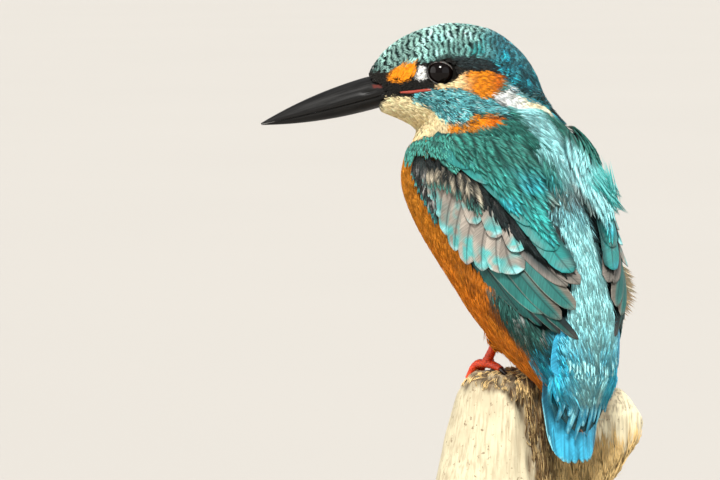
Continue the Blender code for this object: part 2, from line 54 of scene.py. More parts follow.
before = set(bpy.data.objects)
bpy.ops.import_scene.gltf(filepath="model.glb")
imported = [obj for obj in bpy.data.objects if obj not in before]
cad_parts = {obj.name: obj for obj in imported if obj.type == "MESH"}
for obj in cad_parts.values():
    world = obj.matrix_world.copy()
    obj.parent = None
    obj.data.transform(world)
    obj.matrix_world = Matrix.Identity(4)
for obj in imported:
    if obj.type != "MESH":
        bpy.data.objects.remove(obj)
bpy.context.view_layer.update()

MM = 0.001
SIDES = (("left", 1), ("right", -1))


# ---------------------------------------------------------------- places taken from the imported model


def node_box(node):
    """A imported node's lowest and highest corners in millimetres."""
    low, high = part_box(node)
    return np.array(low) / MM, np.array(high) / MM


def node_middle(node):
    low, high = node_box(node)
    return (low + high) / 2


EYE_PLACE = np.array((2.4, 0.0, 0.6))  # middle of the eyes in the head's frame
EYE_SPREAD = float(np.linalg.norm(node_middle("eye_left") - node_middle("eye_right"))) / 2
EYE_RADIUS = float((node_box("eye_left")[1] - node_box("eye_left")[0])[2]) / 2
HEAD_LEFT = (node_middle("eye_left") - node_middle("eye_right")) / (2 * EYE_SPREAD)
HEAD_UP = np.array((0.0, 0.0, 1.0))
HEAD_FORWARD = np.cross(HEAD_LEFT, HEAD_UP)
HEAD_AXES = np.stack((HEAD_FORWARD, HEAD_LEFT, HEAD_UP))
HEAD_CENTRE = (node_middle("eye_left") + node_middle("eye_right")) / 2 - EYE_PLACE @ HEAD_AXES
FEET_Z = 66.0  # level of the branch under the feet
BASE_LOW, BASE_HIGH = node_box("stand_base")

# A folded wing lies on a slanting plane: x from its bend to its tip, y to the back, z outwards
WING_BEND = np.array((23.0, -26.0, 118.0))
WING_TIP = np.array((8.0, 30.0, 74.0))
WING_OUT = np.array((0.80, 0.52, 0.30)) / np.linalg.norm((0.80, 0.52, 0.30))
WING_ALONG = WING_TIP - WING_BEND
WING_ALONG = WING_ALONG - WING_OUT * (WING_ALONG @ WING_OUT)
WING_ALONG = WING_ALONG / np.linalg.norm(WING_ALONG)
WING_AXES = np.stack((WING_ALONG, np.cross(WING_OUT, WING_ALONG), WING_OUT))


def to_head(places):
    """World places in the head's frame: forward, left, up."""
    return (places - HEAD_CENTRE) @ HEAD_AXES.T


def from_head(places):
    return np.asarray(places, float) @ HEAD_AXES + HEAD_CENTRE


# ---------------------------------------------------------------- colours and settings


def hex_colour(code):
    """An sRGB hex value as linear red, green and blue."""
    values = [int(code[i : i + 2], 16) / 255 for i in (1, 3, 5)]
    return tuple(v / 12.92 if v <= 0.04045 else ((v + 0.055) / 1.055) ** 2.4 for v in values)


def colour_setting(name, code, description):
    return FloatVectorProperty(
        name=name, description=description, default=hex_colour(code), subtype="COLOR", size=3, min=0, max=1
    )


class PlumageColours(PropertyGroup):
    """Colours of the feathers."""

    crown_bar: colour_setting("Crown bars", "#c4f8ea", "Bright bar near the end of each crown feather")
    crown_dark: colour_setting("Crown ground", "#0c2a28", "Green-black of a crown feather before its bar")
    nape: colour_setting("Nape bars", "#2a92a6", "Bluer bars on the long feathers of the nape")
    malar: colour_setting("Cheek stripe", "#70cdd6", "Bright part of the stripe under the ear")
    ear: colour_setting("Ear and lore", "#ff9a10", "Orange of the ear patch and the spot before the eye")
    white: colour_setting("Neck patch", "#fffdf8", "White patch on the side of the neck")
    throat: colour_setting("Throat", "#fbe6b4", "Cream of the chin and throat")
    black: colour_setting("Lores", "#15130f", "Black line from the bill to the eye")
    breast: colour_setting("Breast", "#f69e2a", "Rich orange of the breast")
    belly: colour_setting("Belly", "#f48a14", "Warm orange of the belly")
    flank: colour_setting("Flank", "#ffd694", "Pale orange of the flank's soft feathers")
    mantle: colour_setting("Mantle", "#3f9486", "Teal of the mantle and the shoulder")
    shoulder: colour_setting("Shoulder tips", "#5cb5a6", "Lighter green tips of the shoulder feathers")
    scapular: colour_setting("Scapulars", "#3aaea8", "Blue-green of the long feathers over the wing")
    worn: colour_setting("Worn feather", "#6d6660", "Brown-grey of worn feather edges")
    covert: colour_setting("Coverts", "#958c81", "Grey-buff bases of the greater coverts")
    covert_tip: colour_setting("Covert tips", "#45a9a6", "Turquoise tips of the coverts")
    vane: colour_setting("Flight feathers", "#266a64", "Teal outer vanes of the flight feathers")
    vane_dark: colour_setting("Inner vanes", "#172626", "Dark inner vanes of the flight feathers")
    stripe: colour_setting("Back stripe", "#b2fcff", "Bright pale blue down the middle of the back")
    stripe_deep: colour_setting("Rump", "#2fbfe0", "Deeper blue at the sides and end of the stripe")
    tail: colour_setting("Tail", "#40b4da", "Blue of the tail feathers")


class BarePartColours(PropertyGroup):
    """Colours of the bill, eyes, feet, perch and stand."""

    bill: colour_setting("Bill", "#100f0e", "Black horn of the bill")
    gape: colour_setting("Gape", "#963626", "Red skin at the corner of the mouth")
    iris: colour_setting("Eye", "#0b0605", "Dark brown of the eye")
    lid: colour_setting("Eyelid", "#4a4542", "Grey skin round the eye")
    foot: colour_setting("Feet", "#dc3a02", "Red-orange skin of the feet")
    claw: colour_setting("Claws", "#2a211d", "Dark horn of the claws")
    wood_pale: colour_setting("Bare wood", "#efe4c0", "Bleached face of the branch")
    wood_dark: colour_setting("Weathered grain", "#5c3d22", "Brown of cracks and rough grain")
    stand: colour_setting("Stand", "#1a1a1c", "Black lacquer of the base")
    rod: colour_setting("Rods", "#b9bbbf", "Steel of the rods")
    floor: colour_setting("Floor", "#b3afa9", "Pale floor under the model")


class KingfisherSizes(PropertyGroup):
    """Sizes that change the look of the coat."""

    coat_depth: FloatProperty(
        name="Coat depth", description="Depth of the body feathers over the skin",
        default=1.3 * MM, min=0.4 * MM, max=3 * MM, subtype="DISTANCE", unit="LENGTH",
    )
    feather_length: FloatProperty(
        name="Body feather length", description="Length of a breast feather",
        default=6.5 * MM, min=3 * MM, max=12 * MM, subtype="DISTANCE", unit="LENGTH",
    )
    bar_spacing: FloatProperty(
        name="Crown bar spacing", description="Distance from one bar of the crown to the next",
        default=1.55 * MM, min=1 * MM, max=4 * MM, subtype="DISTANCE", unit="LENGTH",
    )


def plumage(context):
    """The plumage colours as arrays, by name."""
    settings = context.scene.kingfisher_plumage
    return {key: np.array(getattr(settings, key)) for key in PlumageColours.__annotations__}


# ---------------------------------------------------------------- numbers


def ease(low, high, value):
    """0 at low and 1 at high, with a soft start and end between them. high may be the smaller."""
    t = np.clip((value - low) / (high - low), 0, 1)
    return t * t * (3 - 2 * t)


def unit(vectors):
    return vectors / np.maximum(np.linalg.norm(vectors, axis=-1, keepdims=True), 1e-9)


def noise(places, size, seed=0):
    """Smooth value noise from -1 to 1, with features of a given size in millimetres."""
    q = places / size + 211.7 + 13.1 * seed
    cell = np.floor(q).astype(np.int64)
    part = q - cell
    part = part * part * (3 - 2 * part)
    total = np.zeros(len(places))
    for corner in np.ndindex(2, 2, 2):
        c = cell + corner
        mixed = (c[:, 0] * 73856093) ^ (c[:, 1] * 19349663) ^ (c[:, 2] * 83492791) ^ (seed * 7919)
        mixed = ((mixed ^ (mixed >> 13)) * 1274126177) & 0x7FFFFFFF
        value = ((mixed ^ (mixed >> 15)) & 0xFFFF) / 65535
        total += value * np.prod(np.where(corner, part, 1 - part), axis=1)
    return total * 2 - 1


def along_path(path, shares):
    """Points at even shares of the way along a list of corners, on a smooth curve."""
    path = np.asarray(path, float)
    place = np.clip(shares, 0, 1) * (len(path) - 1)
    i = np.minimum(place.astype(int), len(path) - 2)
    t = (place - i)[:, None]
    a, b = path[np.maximum(i - 1, 0)], path[i]
    c, d = path[i + 1], path[np.minimum(i + 2, len(path) - 1)]
    square = 2 * a - 5 * b + 4 * c - d
    cube = 3 * b - a - 3 * c + d
    return 0.5 * (2 * b + (c - a) * t + square * t**2 + cube * t**3)


def outline_depth(points, corners):
    """How far points lie inside a flat outline in millimetres, negative outside it."""
    corners = np.asarray(corners, float)
    inside = np.zeros(len(points), bool)
    nearest = np.full(len(points), 1e9)
    for a, b in zip(corners, np.roll(corners, -1, axis=0)):
        edge = b - a
        share = np.clip((points - a) @ edge / (edge @ edge), 0, 1)
        nearest = np.minimum(nearest, np.linalg.norm(points - a - share[:, None] * edge, axis=1))
        crosses = (a[1] > points[:, 1]) != (b[1] > points[:, 1])
        level = edge[1] if abs(edge[1]) > 1e-9 else 1e-9
        inside ^= crosses & (points[:, 0] < a[0] + (points[:, 1] - a[1]) / level * edge[0])
    return np.where(inside, nearest, -nearest)


# ---------------------------------------------------------------- meshes


def deselect_all():
    if bpy.context.object and bpy.context.object.mode != "OBJECT":
        bpy.ops.object.mode_set(mode="OBJECT")
    bpy.ops.object.select_all(action="DESELECT")


def make_active(obj):
    deselect_all()
    obj.select_set(True)
    bpy.context.view_layer.objects.active = obj


def link_object(name, mesh):
    obj = bpy.data.objects.new(name, mesh)
    bpy.context.scene.collection.objects.link(obj)
    return obj


def array_object(name, places, triangles, material, colours=None, maps=()):
    """An object from arrays: places in millimetres, triangles, and colours and maps by vertex."""
    mesh = bpy.data.meshes.new(name)
    mesh.from_pydata((places * MM).tolist(), [], triangles.tolist())
    mesh.shade_smooth()
    if colours is not None:
        layer = mesh.color_attributes.new("Plumage", "FLOAT_COLOR", "POINT")
        layer.data.foreach_set("color", np.clip(colours, 0, 1).astype(np.float32).ravel())
    for label, values in maps:
        layer = mesh.uv_layers.new(name=label)
        layer.data.foreach_set("uv", values[triangles.ravel()].astype(np.float32).ravel())
    mesh.materials.append(material)
    return link_object(name, mesh)


def apply_modifiers(obj):
    make_active(obj)
    for modifier in list(obj.modifiers):
        bpy.ops.object.modifier_apply(modifier=modifier.name)


def face_outwards(obj):
    """Turns all of a closed mesh's faces outwards."""
    make_active(obj)
    bpy.ops.object.mode_set(mode="EDIT")
    bpy.ops.mesh.select_all(action="SELECT")
    bpy.ops.mesh.normals_make_consistent(inside=False)
    bpy.ops.object.mode_set(mode="OBJECT")


def melt(obj, voxel, rounds):
    """Remakes a mesh as one closed skin of small even faces, and smooths it."""
    remesh = obj.modifiers.new("melt", "REMESH")
    remesh.mode = "VOXEL"
    remesh.voxel_size = voxel * MM
    smooth = obj.modifiers.new("smooth", "SMOOTH")
    smooth.factor = 0.5
    smooth.iterations = rounds
    apply_modifiers(obj)


def round_edges(obj, width, segments, limit=30.0):
    """Bevels the edges that turn by more than a limit in degrees, and shades the rest smooth."""
    bevel = obj.modifiers.new("rounded edges", "BEVEL")
    bevel.width = width * MM
    bevel.segments = segments
    bevel.limit_method = "ANGLE"
    bevel.angle_limit = math.radians(limit)
    apply_modifiers(obj)
    bpy.ops.object.shade_smooth_by_angle(angle=math.radians(40))


def melted(name, nodes, voxel, swell, rounds):
    """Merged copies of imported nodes, swollen a little so that they meet, as one smooth closed mesh."""
    whole = bmesh.new()
    for node in nodes:
        part = bmesh.new()
        part.from_mesh(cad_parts[node].data)
        bmesh.ops.remove_doubles(part, verts=part.verts, dist=0.001 * MM)
        part.normal_update()
        for vertex in part.verts:
            vertex.co += vertex.normal * swell * MM
        mesh = bpy.data.meshes.new(node)
        part.to_mesh(mesh)
        part.free()
        whole.from_mesh(mesh)
        bpy.data.meshes.remove(mesh)
    mesh = bpy.data.meshes.new(name)
    whole.to_mesh(mesh)
    whole.free()
    obj = link_object(name, mesh)
    melt(obj, voxel, rounds)
    return obj


def mesh_arrays(obj):
    """An object's vertices and normals in millimetres, and its triangles."""
    mesh = obj.data
    places = np.empty(len(mesh.vertices) * 3, np.float32)
    mesh.vertices.foreach_get("co", places)
    normals = np.empty_like(places)
    mesh.vertices.foreach_get("normal", normals)
    mesh.calc_loop_triangles()
    triangles = np.empty(len(mesh.loop_triangles) * 3, np.int32)
    mesh.loop_triangles.foreach_get("vertices", triangles)
    places, normals, triangles = (values.reshape(-1, 3) for values in (places, normals, triangles))
    return places.astype(float) / MM, normals.astype(float), triangles


class Surface:
    """A mesh in millimetres that feathers are laid on."""

    def __init__(self, obj):
        self.places, self.normals, self.triangles = mesh_arrays(obj)
        self.tree = BVHTree.FromPolygons(self.places.tolist(), self.triangles.tolist())

    def normals_of(self, faces):
        return unit(self.normals[self.triangles[faces]].mean(axis=1))

    def nearest(self, places):
        """The nearest places on the surface, with their normals, faces and distances."""
        found = [self.tree.find_nearest(p) for p in places.tolist()]
        faces = np.array([f[2] for f in found])
        spots = np.array([f[0][:] for f in found])
        return spots, self.normals_of(faces), faces, np.array([f[3] for f in found])

    def hits(self, starts, directions, reach=200.0):
        """Where rays first meet the surface: places, normals, and which of them do."""
        found = [self.tree.ray_cast(a, b, reach) for a, b in zip(starts.tolist(), directions.tolist())]
        met = np.array([f[0] is not None for f in found])
        faces = np.array([f[2] if f[0] is not None else 0 for f in found])
        spots = np.array([f[0][:] if f[0] is not None else (0, 0, 0) for f in found])
        return spots, self.normals_of(faces), met

    def scatter(self, spacing, zone, rng):
        """Evenly spread places with their normals, about a spacing apart, where zone(places) holds."""
        corners = self.places[self.triangles]
        middles = corners.mean(axis=1)
        keep = zone(middles)
        corners, normals = corners[keep], self.normals[self.triangles[keep]]
        edges = corners[:, 1:] - corners[:, :1]
        areas = np.linalg.norm(np.cross(edges[:, 0], edges[:, 1]), axis=1) / 2
        count = int(areas.sum() / spacing**2 * 5)
        chosen = rng.choice(len(corners), count, p=areas / areas.sum())
        a, b = rng.random(count), rng.random(count)
        over = a + b > 1
        a[over], b[over] = 1 - a[over], 1 - b[over]
        shares = np.stack((1 - a - b, a, b), axis=1)[:, :, None]
        places = (corners[chosen] * shares).sum(axis=1)
        normals = unit((normals[chosen] * shares).sum(axis=1))
        cells = np.floor(places / spacing / 0.92).astype(int)
        first = np.unique(cells, axis=0, return_index=True)[1]
        first.sort()
        return places[first], normals[first]


BODY_NODES = ("head", "neck", "trunk", "leg_left_thigh", "leg_right_thigh", "back_feathers")
WING_LAYERS = ("primaries", "secondaries", "coverts", "shoulder", "scapulars")
SHARED = {}  # the guides that several pieces are laid on, each made once


def body_form():
    """The bird's outline without wings and tail: the guide that every feather is laid on."""
    if "form" not in SHARED:
        nodes = BODY_NODES + ("eye_left", "eye_right", "bill_upper", "bill_lower")
        obj = melted("guide", nodes, voxel=0.8, swell=0.2, rounds=9)
        SHARED["form"] = Surface(obj)
        bpy.data.objects.remove(obj)
    return SHARED["form"]


def node_tree(nodes):
    """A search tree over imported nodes, in millimetres."""
    places, triangles, count = [], [], 0
    for node in nodes:
        part = mesh_arrays(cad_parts[node])
        places += part[0].tolist()
        triangles += (part[2] + count).tolist()
        count += len(part[0])
    return BVHTree.FromPolygons(places, triangles)


# ---------------------------------------------------------------- markings

# Outlines of the head's markings in its side view: forward, up. Both sides carry them.
CROWN_EDGE = (
    (22, -0.8), (16.8, -0.6), (12.2, 1.3), (6, 2.0), (2.7, 3.0), (-1, 3.3), (-6.5, 3.1), (-11.4, 1.8),
    (-14, -1.2), (-17, -4.6), (-22.8, -8.3), (-28, -12.3),
)
LORE_SPOT = (
    (16.8, -2), (14.8, -0.8), (12.2, 1.0), (9.9, 1.5), (8.9, 0.3), (9.5, -1.7), (10.5, -3), (13, -3.5),
    (15.8, -3),
)
PALE_SPOT = ((8.4, 0.5), (6.6, 0.8), (5.4, -0.4), (5.8, -1.9), (7.2, -3.1), (9, -2.6))
LORE_LINE = ((18, -2.6), (9, -2.9), (5, -3), (-1, -3.4), (-1, -4.4), (9, -5.0), (18, -5))
EYE_STREAK = (
    (0.5, 3.2), (-4, 3.6), (-10.5, 2.6), (-14.5, -1.2), (-18.5, -5), (-17.5, -6),
    (-13.8, -2.2), (-9, 0.0), (-4, 0.2), (-1, 1),
)
EAR_PATCH = (
    (-0.3, -4.0), (-3.6, -1.2), (-10, -0.6), (-14.3, -1.8), (-13.6, -4.4),
    (-11.6, -7), (-8.1, -8.3), (-5.2, -6.9), (-1.5, -5.6), (4, -4.9), (4, -4.0),
)
NECK_PATCH = (
    (-11, -6.5), (-16.3, -5.4), (-20.8, -7.3), (-24, -9.6), (-27.5, -12.4),
    (-22.9, -11.2), (-16.3, -11.4), (-13.7, -10.2), (-11.1, -8.5),
)
CHEEK_STRIPE = (
    (9.6, -6.2), (2, -5.3), (-3.9, -6.1), (-6.5, -8.2), (-11.4, -8.5), (-14, -10.9), (-15.6, -13.2),
    (-9.8, -12.6), (-5.5, -13.1), (-4.2, -15.6), (-1.3, -15.1), (2.0, -13.1), (4.6, -10.2), (9.2, -8.5),
)
CHIN = (
    (22, -7), (10.5, -7.4), (5, -9.8), (2, -13), (-1, -15.6), (-0.3, -18.4), (7, -19.4), (12, -20), (22, -23),
)
COLLAR = (
    (0, -16.2), (-4.6, -15.2), (-6.2, -13.2), (-8.5, -13.4), (-13.4, -13.2),
    (-14, -14.0), (-10, -16.3), (-5, -17.5), (-0.5, -18),
)


def side_view(head):
    """Places of the head's frame as its outlines are drawn: forward, and up less the cheek's bulge."""
    return np.stack((head[:, 0], head[:, 2] - 0.75 - 0.087 * np.abs(head[:, 1])), axis=1)


def above_collar(profile):
    """How far places lie above the line where the head's feathers end."""
    return profile[:, 1] - np.interp(profile[:, 0], (-27, -12, -2, 3), (-13.2, -15.8, -17.8, -19.6))


def above_crown_edge(profile):
    """How far places lie above the crown's lower edge."""
    forward, up = np.array(CROWN_EDGE[::-1]).T
    return profile[:, 1] - np.interp(profile[:, 0], forward, up)


def blend(colours, colour, amount):
    return colours + (colour - colours) * amount[..., None]


def patches(places, size, seed):
    """Soft noise at places held in an array of any shape."""
    return noise(places.reshape(-1, 3), size, seed).reshape(places.shape[:-1])


def back_edge(z):
    """How far back the orange of the underside reaches at a height."""
    return np.interp(z, (70, 75, 94, 112), (18, 18, 8, -7.5))


def stripe_half_width(z):
    return np.interp(z, (55, 70, 95, 120, 134), (12.5, 12, 8.5, 7.5, 6))


def back_shades(places, c):
    """Colours of the mantle and scapulars: dark by the neck, teal below, with a pale fan and a worn patch."""
    x, z = places[:, 0], places[:, 2]
    soft = noise(places, 3.5, 41)
    hair = noise(places * (1, 1, 0.15), 0.6, 42)
    shades = np.repeat(c["scapular"][None], len(places), axis=0)
    shades = blend(shades, c["mantle"] * 0.8, ease(112, 122, z + 4 * soft))
    bright = 0.5 * ease(0.0, 0.6, noise(places, 6, 6)) * ease(124, 114, z)
    shades = blend(shades, c["stripe_deep"], bright)
    middle = np.interp(z, (112, 118, 126, 134), (-14, -9, -3.5, 1.5))
    half = np.interp(z, (112, 126, 134), (9, 7, 4.5))
    fan = ease(1.3, 0.6, np.abs(x - middle) / half + 0.35 * soft) * ease(104, 110, z)
    shades = blend(shades, c["stripe"], fan)
    worn = ease(1.15, 0.75, np.hypot((x + 1) / 8, (z - 110) / 7.5) + 0.3 * soft)
    shades = blend(shades, c["worn"] * 1.3, 0.75 * worn)
    return shades * (0.62 + 0.5 * ease(-0.45, 0.35, hair))[:, None]


def markings(places, c):
    """The plumage's colour at places on the body, the same for the skin and the coat. c is by name."""
    c = {**c, "streak": c["black"] * 1.6 + c["nape"] * 0.05}
    head = to_head(places)
    forward, height = head[:, 0], head[:, 2]
    profile = side_view(head)
    x, y, z = places.T
    wobble = noise(places, 2.2, 3) * 0.5

    # Underside: rich orange breast, warmer belly, paler flank on the right
    colours = np.repeat(c["breast"][None], len(places), axis=0)
    colours = blend(colours, c["belly"], ease(112, 88, z + 4 * wobble))
    flank = 0.75 * ease(-14, -21, x) * ease(104, 96, z) * ease(74, 82, z)
    colours = blend(colours, c["flank"], flank)
    colours = blend(colours, c["breast"] * 0.8, 0.5 * ease(0.1, 0.7, noise(places, 5, 5)))

    # Back: teal mantle, and the bright stripe down its middle
    back = ease(-0.8, 0.8, y - back_edge(z) + 1.5 * wobble)
    teal = blend(back_shades(places, c), c["mantle"] * (1.4, 1.05, 1.1), ease(98, 86, z))
    pale = ease(0.3, 0.6, noise(places * (1, 1, 0.25), 1.1, 45)) * ease(92, 84, z)
    teal = blend(teal, c["white"], 0.6 * pale)
    teal = blend(teal, c["stripe_deep"] * 0.9, ease(78, 71, z + 3 * wobble))
    colours = blend(colours, teal, back)
    wide = stripe_half_width(z)
    stripe = back * ease(1.0, -1.4, np.abs(x) - wide + 2 * wobble) * (y > 0) * ease(113, 107, z + 4 * wobble)
    colours = blend(colours, c["stripe_deep"], stripe)
    core = stripe * ease(1.1, 0.7, np.abs(x) / wide + 0.25 * wobble + 0.35 * ease(84, 70, z))
    colours = blend(colours, c["stripe"], core)
    end = ease(-0.4, 0.5, noise(places * (1, 1, 0.4), 2.0, 43)) * ease(86, 70, z)
    colours = blend(colours, c["stripe_deep"], 0.75 * stripe * end)

    # Head: black at the front, then its areas, each softened at its edge
    on_head = ease(-0.6, 0.6, above_collar(profile))
    front = ease(1.5, 3.5, forward) * ease(-8.4, -7.8, profile[:, 1])
    colours = blend(colours, c["black"], front * on_head)
    colours = blend(colours, c["black"] * 1.6, ease(-14, -12, forward) * ease(-5, -4, profile[:, 1]))
    areas = (
        (CHIN, "throat", 0.7), (COLLAR, "ear", 0.7), (CHEEK_STRIPE, "malar", 0.5),
        (NECK_PATCH, "white", 0.6), (EAR_PATCH, "ear", 0.6), (EYE_STREAK, "streak", 0.5),
        (LORE_LINE, "black", 0.35), (LORE_SPOT, "ear", 0.35), (PALE_SPOT, "white", 0.3),
    )
    for corners, name, blur in areas:
        depth = outline_depth(profile, corners) + wobble * blur
        colours = blend(colours, c[name], ease(-0.3, 0.3, depth) * on_head)
    in_ear, in_collar = outline_depth(profile, EAR_PATCH), outline_depth(profile, COLLAR)
    rusty = np.maximum(ease(-9, -13, forward) * ease(-0.2, 0.6, in_ear),
                       ease(-8, -11, forward) * ease(-0.2, 0.4, in_collar))
    colours = blend(colours, c["ear"] * (0.85, 0.5, 0.4), 0.8 * rusty * on_head)
    colours = blend(colours, c["throat"], ease(-6.5, -1.5, forward) * ease(-0.5, 0.5, in_ear) * 0.85)
    creamy = ease(-17, -23, forward) * ease(-0.5, 0.5, outline_depth(profile, NECK_PATCH))
    colours = blend(colours, c["throat"], creamy * 0.8)

    # Crown: pale bars, greener at the sides and bluer on the nape, with painted glints of bright blue at its
    # back
    above = above_crown_edge(profile)
    side = ease(8, 2, above) * 0.55 + 0.45 * ease(-0.3, 0.5, noise(places, 3.5, 7))
    bars = np.repeat(c["crown_bar"][None], len(x), axis=0)
    bars = blend(bars, c["covert_tip"], side * ease(16, -4, forward))
    bars = blend(bars, c["nape"], ease(-4, -12, forward) * 0.9)
    # Painted glints: bright blue patches on the bars at the back of the crown and on the nape.
    glint = ease(0.35, 0.7, noise(places, 1.6, 9)) * ease(-6, -14, forward)
    bars = blend(bars, c["stripe_deep"] * 1.6, glint * 0.9)
    bars = bars * (1 - 0.4 * ease(5, 15, forward))[:, None]
    bars = blend(bars, c["crown_dark"], ease(18.5, 21, forward) * 0.8)
    crown = ease(-0.4, 0.4, above + wobble * 0.6) * ease(22.5, 21, forward)
    colours = colours + (bars - colours) * crown[:, None]
    around_eye = np.linalg.norm(head[:, (0, 2)] - EYE_PLACE[[0, 2]], axis=1)
    rim = ease(5.4, 4.6, around_eye) * ease(-1.8, -0.8, height - EYE_PLACE[2] - 0.5 * forward)
    return blend(colours, c["black"], rim * 0.85)


# ---------------------------------------------------------------- materials

BLEND = {"data_type": "RGBA"}  # a colour mix of inputs 6 and 7, by input 0
MULTIPLY = {"data_type": "RGBA", "blend_type": "MULTIPLY", 0: 1.0}
OWN_COLOUR = {"attribute_name": "Plumage"}


def add_node(tree, kind, given, output=0):
    """Adds a node and returns one of its outputs.

    given sets its properties or, by name or number, its inputs. An input that gets another node's output
    is linked to it.
    """
    node = tree.nodes.new("ShaderNode" + kind)
    for key, value in given.items():
        if isinstance(value, bpy.types.NodeSocket):
            tree.links.new(value, node.inputs[key])
        elif isinstance(key, int) or key in node.inputs:
            node.inputs[key].default_value = value
        else:
            setattr(node, key, value)
    return node.outputs[output]


def new_material(name, shader_settings):
    """A material with one Principled shader, its tree and that shader."""
    material = bpy.data.materials.new(name)
    material.use_nodes = True
    tree = material.node_tree
    shader = tree.nodes["Principled BSDF"]
    for key, value in shader_settings.items():
        shader.inputs[key].default_value = value
    return material, tree, shader


def feed(shader, links):
    """Links outputs to the shader's inputs, by name."""
    for key, source in links.items():
        shader.id_data.links.new(source, shader.inputs[key])


def paint_shade(colour, by=1.0, plus=0.0):
    """A colour made darker or lighter, with full alpha."""
    return tuple(min(1.0, v * by + plus) for v in colour) + (1.0,)


def feather_material(name, ground, start, end, roughness=0.6, sheen=0.04):
    """Keratin feather barbs: matt with a silky gloss. They change from a dark ground to their own colour.

    ground is a colour, or a share of the barb's own colour. start and end are places along the barb.
    """
    gloss = {"Roughness": roughness, "Specular IOR Level": 0.2, "Sheen Weight": sheen, "Sheen Roughness": 0.4}
    material, tree, shader = new_material(name, gloss)
    own = add_node(tree, "Attribute", OWN_COLOUR, "Color")
    along = add_node(tree, "Attribute", OWN_COLOUR, "Alpha")
    share = add_node(tree, "MapRange", {"Value": along, "From Min": start, "From Max": end})
    if isinstance(ground, float):
        dark = add_node(tree, "Mix", {**MULTIPLY, 6: own, 7: (ground, ground, ground, 1)}, 2)
    else:
        dark = (*ground, 1)
    feed(shader, {"Base Color": add_node(tree, "Mix", {**BLEND, 0: share, 6: dark, 7: own}, 2)})
    return material


def skin_material():
    """Skin and down under the coat: a darker, matt version of the feathers' own markings, most of its
    darkness painted shade in its colours.
    """
    material, tree, shader = new_material("down over skin", {"Roughness": 0.9, "Specular IOR Level": 0.1})
    own = add_node(tree, "Attribute", OWN_COLOUR, "Color")
    place = add_node(tree, "TexCoord", {}, "Object")
    down = add_node(tree, "TexNoise", {"Scale": 1 / (0.5 * MM), "Detail": 3.0, "Vector": place})
    tuft = {"Value": down, "From Min": 0.3, "From Max": 0.7, "To Min": 0.55}
    feed(shader, {
        "Base Color": add_node(tree, "Mix", {**MULTIPLY, 6: own, 7: add_node(tree, "MapRange", tuft)}, 2),
        "Normal": add_node(tree, "Bump", {"Strength": 0.6, "Distance": 0.2 * MM, "Height": down}),
    })
    return material


def vane_material(name, roughness=0.5):
    """A flight feather's vane: close-set barbs that slant from the shaft, with a silky sheen.

    Its barbs are 0.3 mm apart, drawn about twice as coarse as the real ones so that they show.
    """
    settings = {"Roughness": roughness, "Specular IOR Level": 0.2, "Sheen Weight": 0.02}
    material, tree, shader = new_material(name, settings)
    own = add_node(tree, "Attribute", OWN_COLOUR, "Color")
    vane = add_node(tree, "UVMap", {"uv_map": "Vane"})
    stretched = add_node(tree, "Mapping", {"Scale": (0.25, 3.3, 1), "Vector": vane})
    barbs = add_node(tree, "TexNoise", {"Scale": 1.0, "Detail": 2.0, "Roughness": 0.7, "Vector": stretched})
    ridge = {"Value": barbs, "From Min": 0.3, "From Max": 0.7, "To Min": 0.62, "To Max": 1.25}
    feed(shader, {
        "Base Color": add_node(tree, "Mix", {**MULTIPLY, 6: own, 7: add_node(tree, "MapRange", ridge)}, 2),
        "Normal": add_node(tree, "Bump", {"Strength": 0.5, "Distance": 0.12 * MM, "Height": barbs}),
    })
    return material


# ---------------------------------------------------------------- slivers and tufts

PATCH = 0.003  # width of a tuft's place on the skin's map
# A sliver: pointed root, three-cornered middle, pointed end. Its corners lie at these shares of it
ALONG_SLIVER = np.array((0, 0.5, 0.5, 0.5, 1.0))
SLIVER = np.array(((0, 2, 1), (0, 3, 2), (0, 1, 3), (4, 1, 2), (4, 2, 3), (4, 3, 1)))


def slivers(start, middle, end, up, width, thickness):
    """Closed barbs through three places each, as vertices by barb. up points away from the body."""
    side = unit(np.cross(end - start, up))
    half = side * (width / 2)[..., None]
    ridge = middle + up * thickness[..., None]
    return np.stack((start, middle - half, middle + half, ridge, end), axis=-2)


def sliver_piece(name, corners, colours, alpha, spots, across, material):
    """One object of many slivers. colours, spots and across are by sliver, and alpha by its vertices."""
    count = corners.reshape(-1, 5, 3).shape[0]
    places = corners.reshape(-1, 3)
    triangles = (SLIVER[None] + 5 * np.arange(count)[:, None, None]).reshape(-1, 3)
    tint = np.repeat(colours.reshape(-1, 3), 5, axis=0)
    warm = tint[:, 2] < 0.3 * tint[:, 0]  # bright orange barbs keep their hue and don't turn yellow
    tint[warm] /= np.maximum(tint[warm].max(axis=1, keepdims=True), 1)
    rgba = np.concatenate((tint, alpha.reshape(-1, 1)), axis=1)
    spread = np.array((0, -0.1, 0.1, 0, 0))
    u = across.reshape(-1, 1) * 0.4 + spread
    v = alpha.reshape(-1, 5) - 0.5
    patch = np.stack((u, v), axis=-1) * PATCH
    uv = (spots.reshape(-1, 1, 2) + patch).reshape(-1, 2)
    return array_object(name, places, triangles, material, rgba, (("OFBake", uv),))


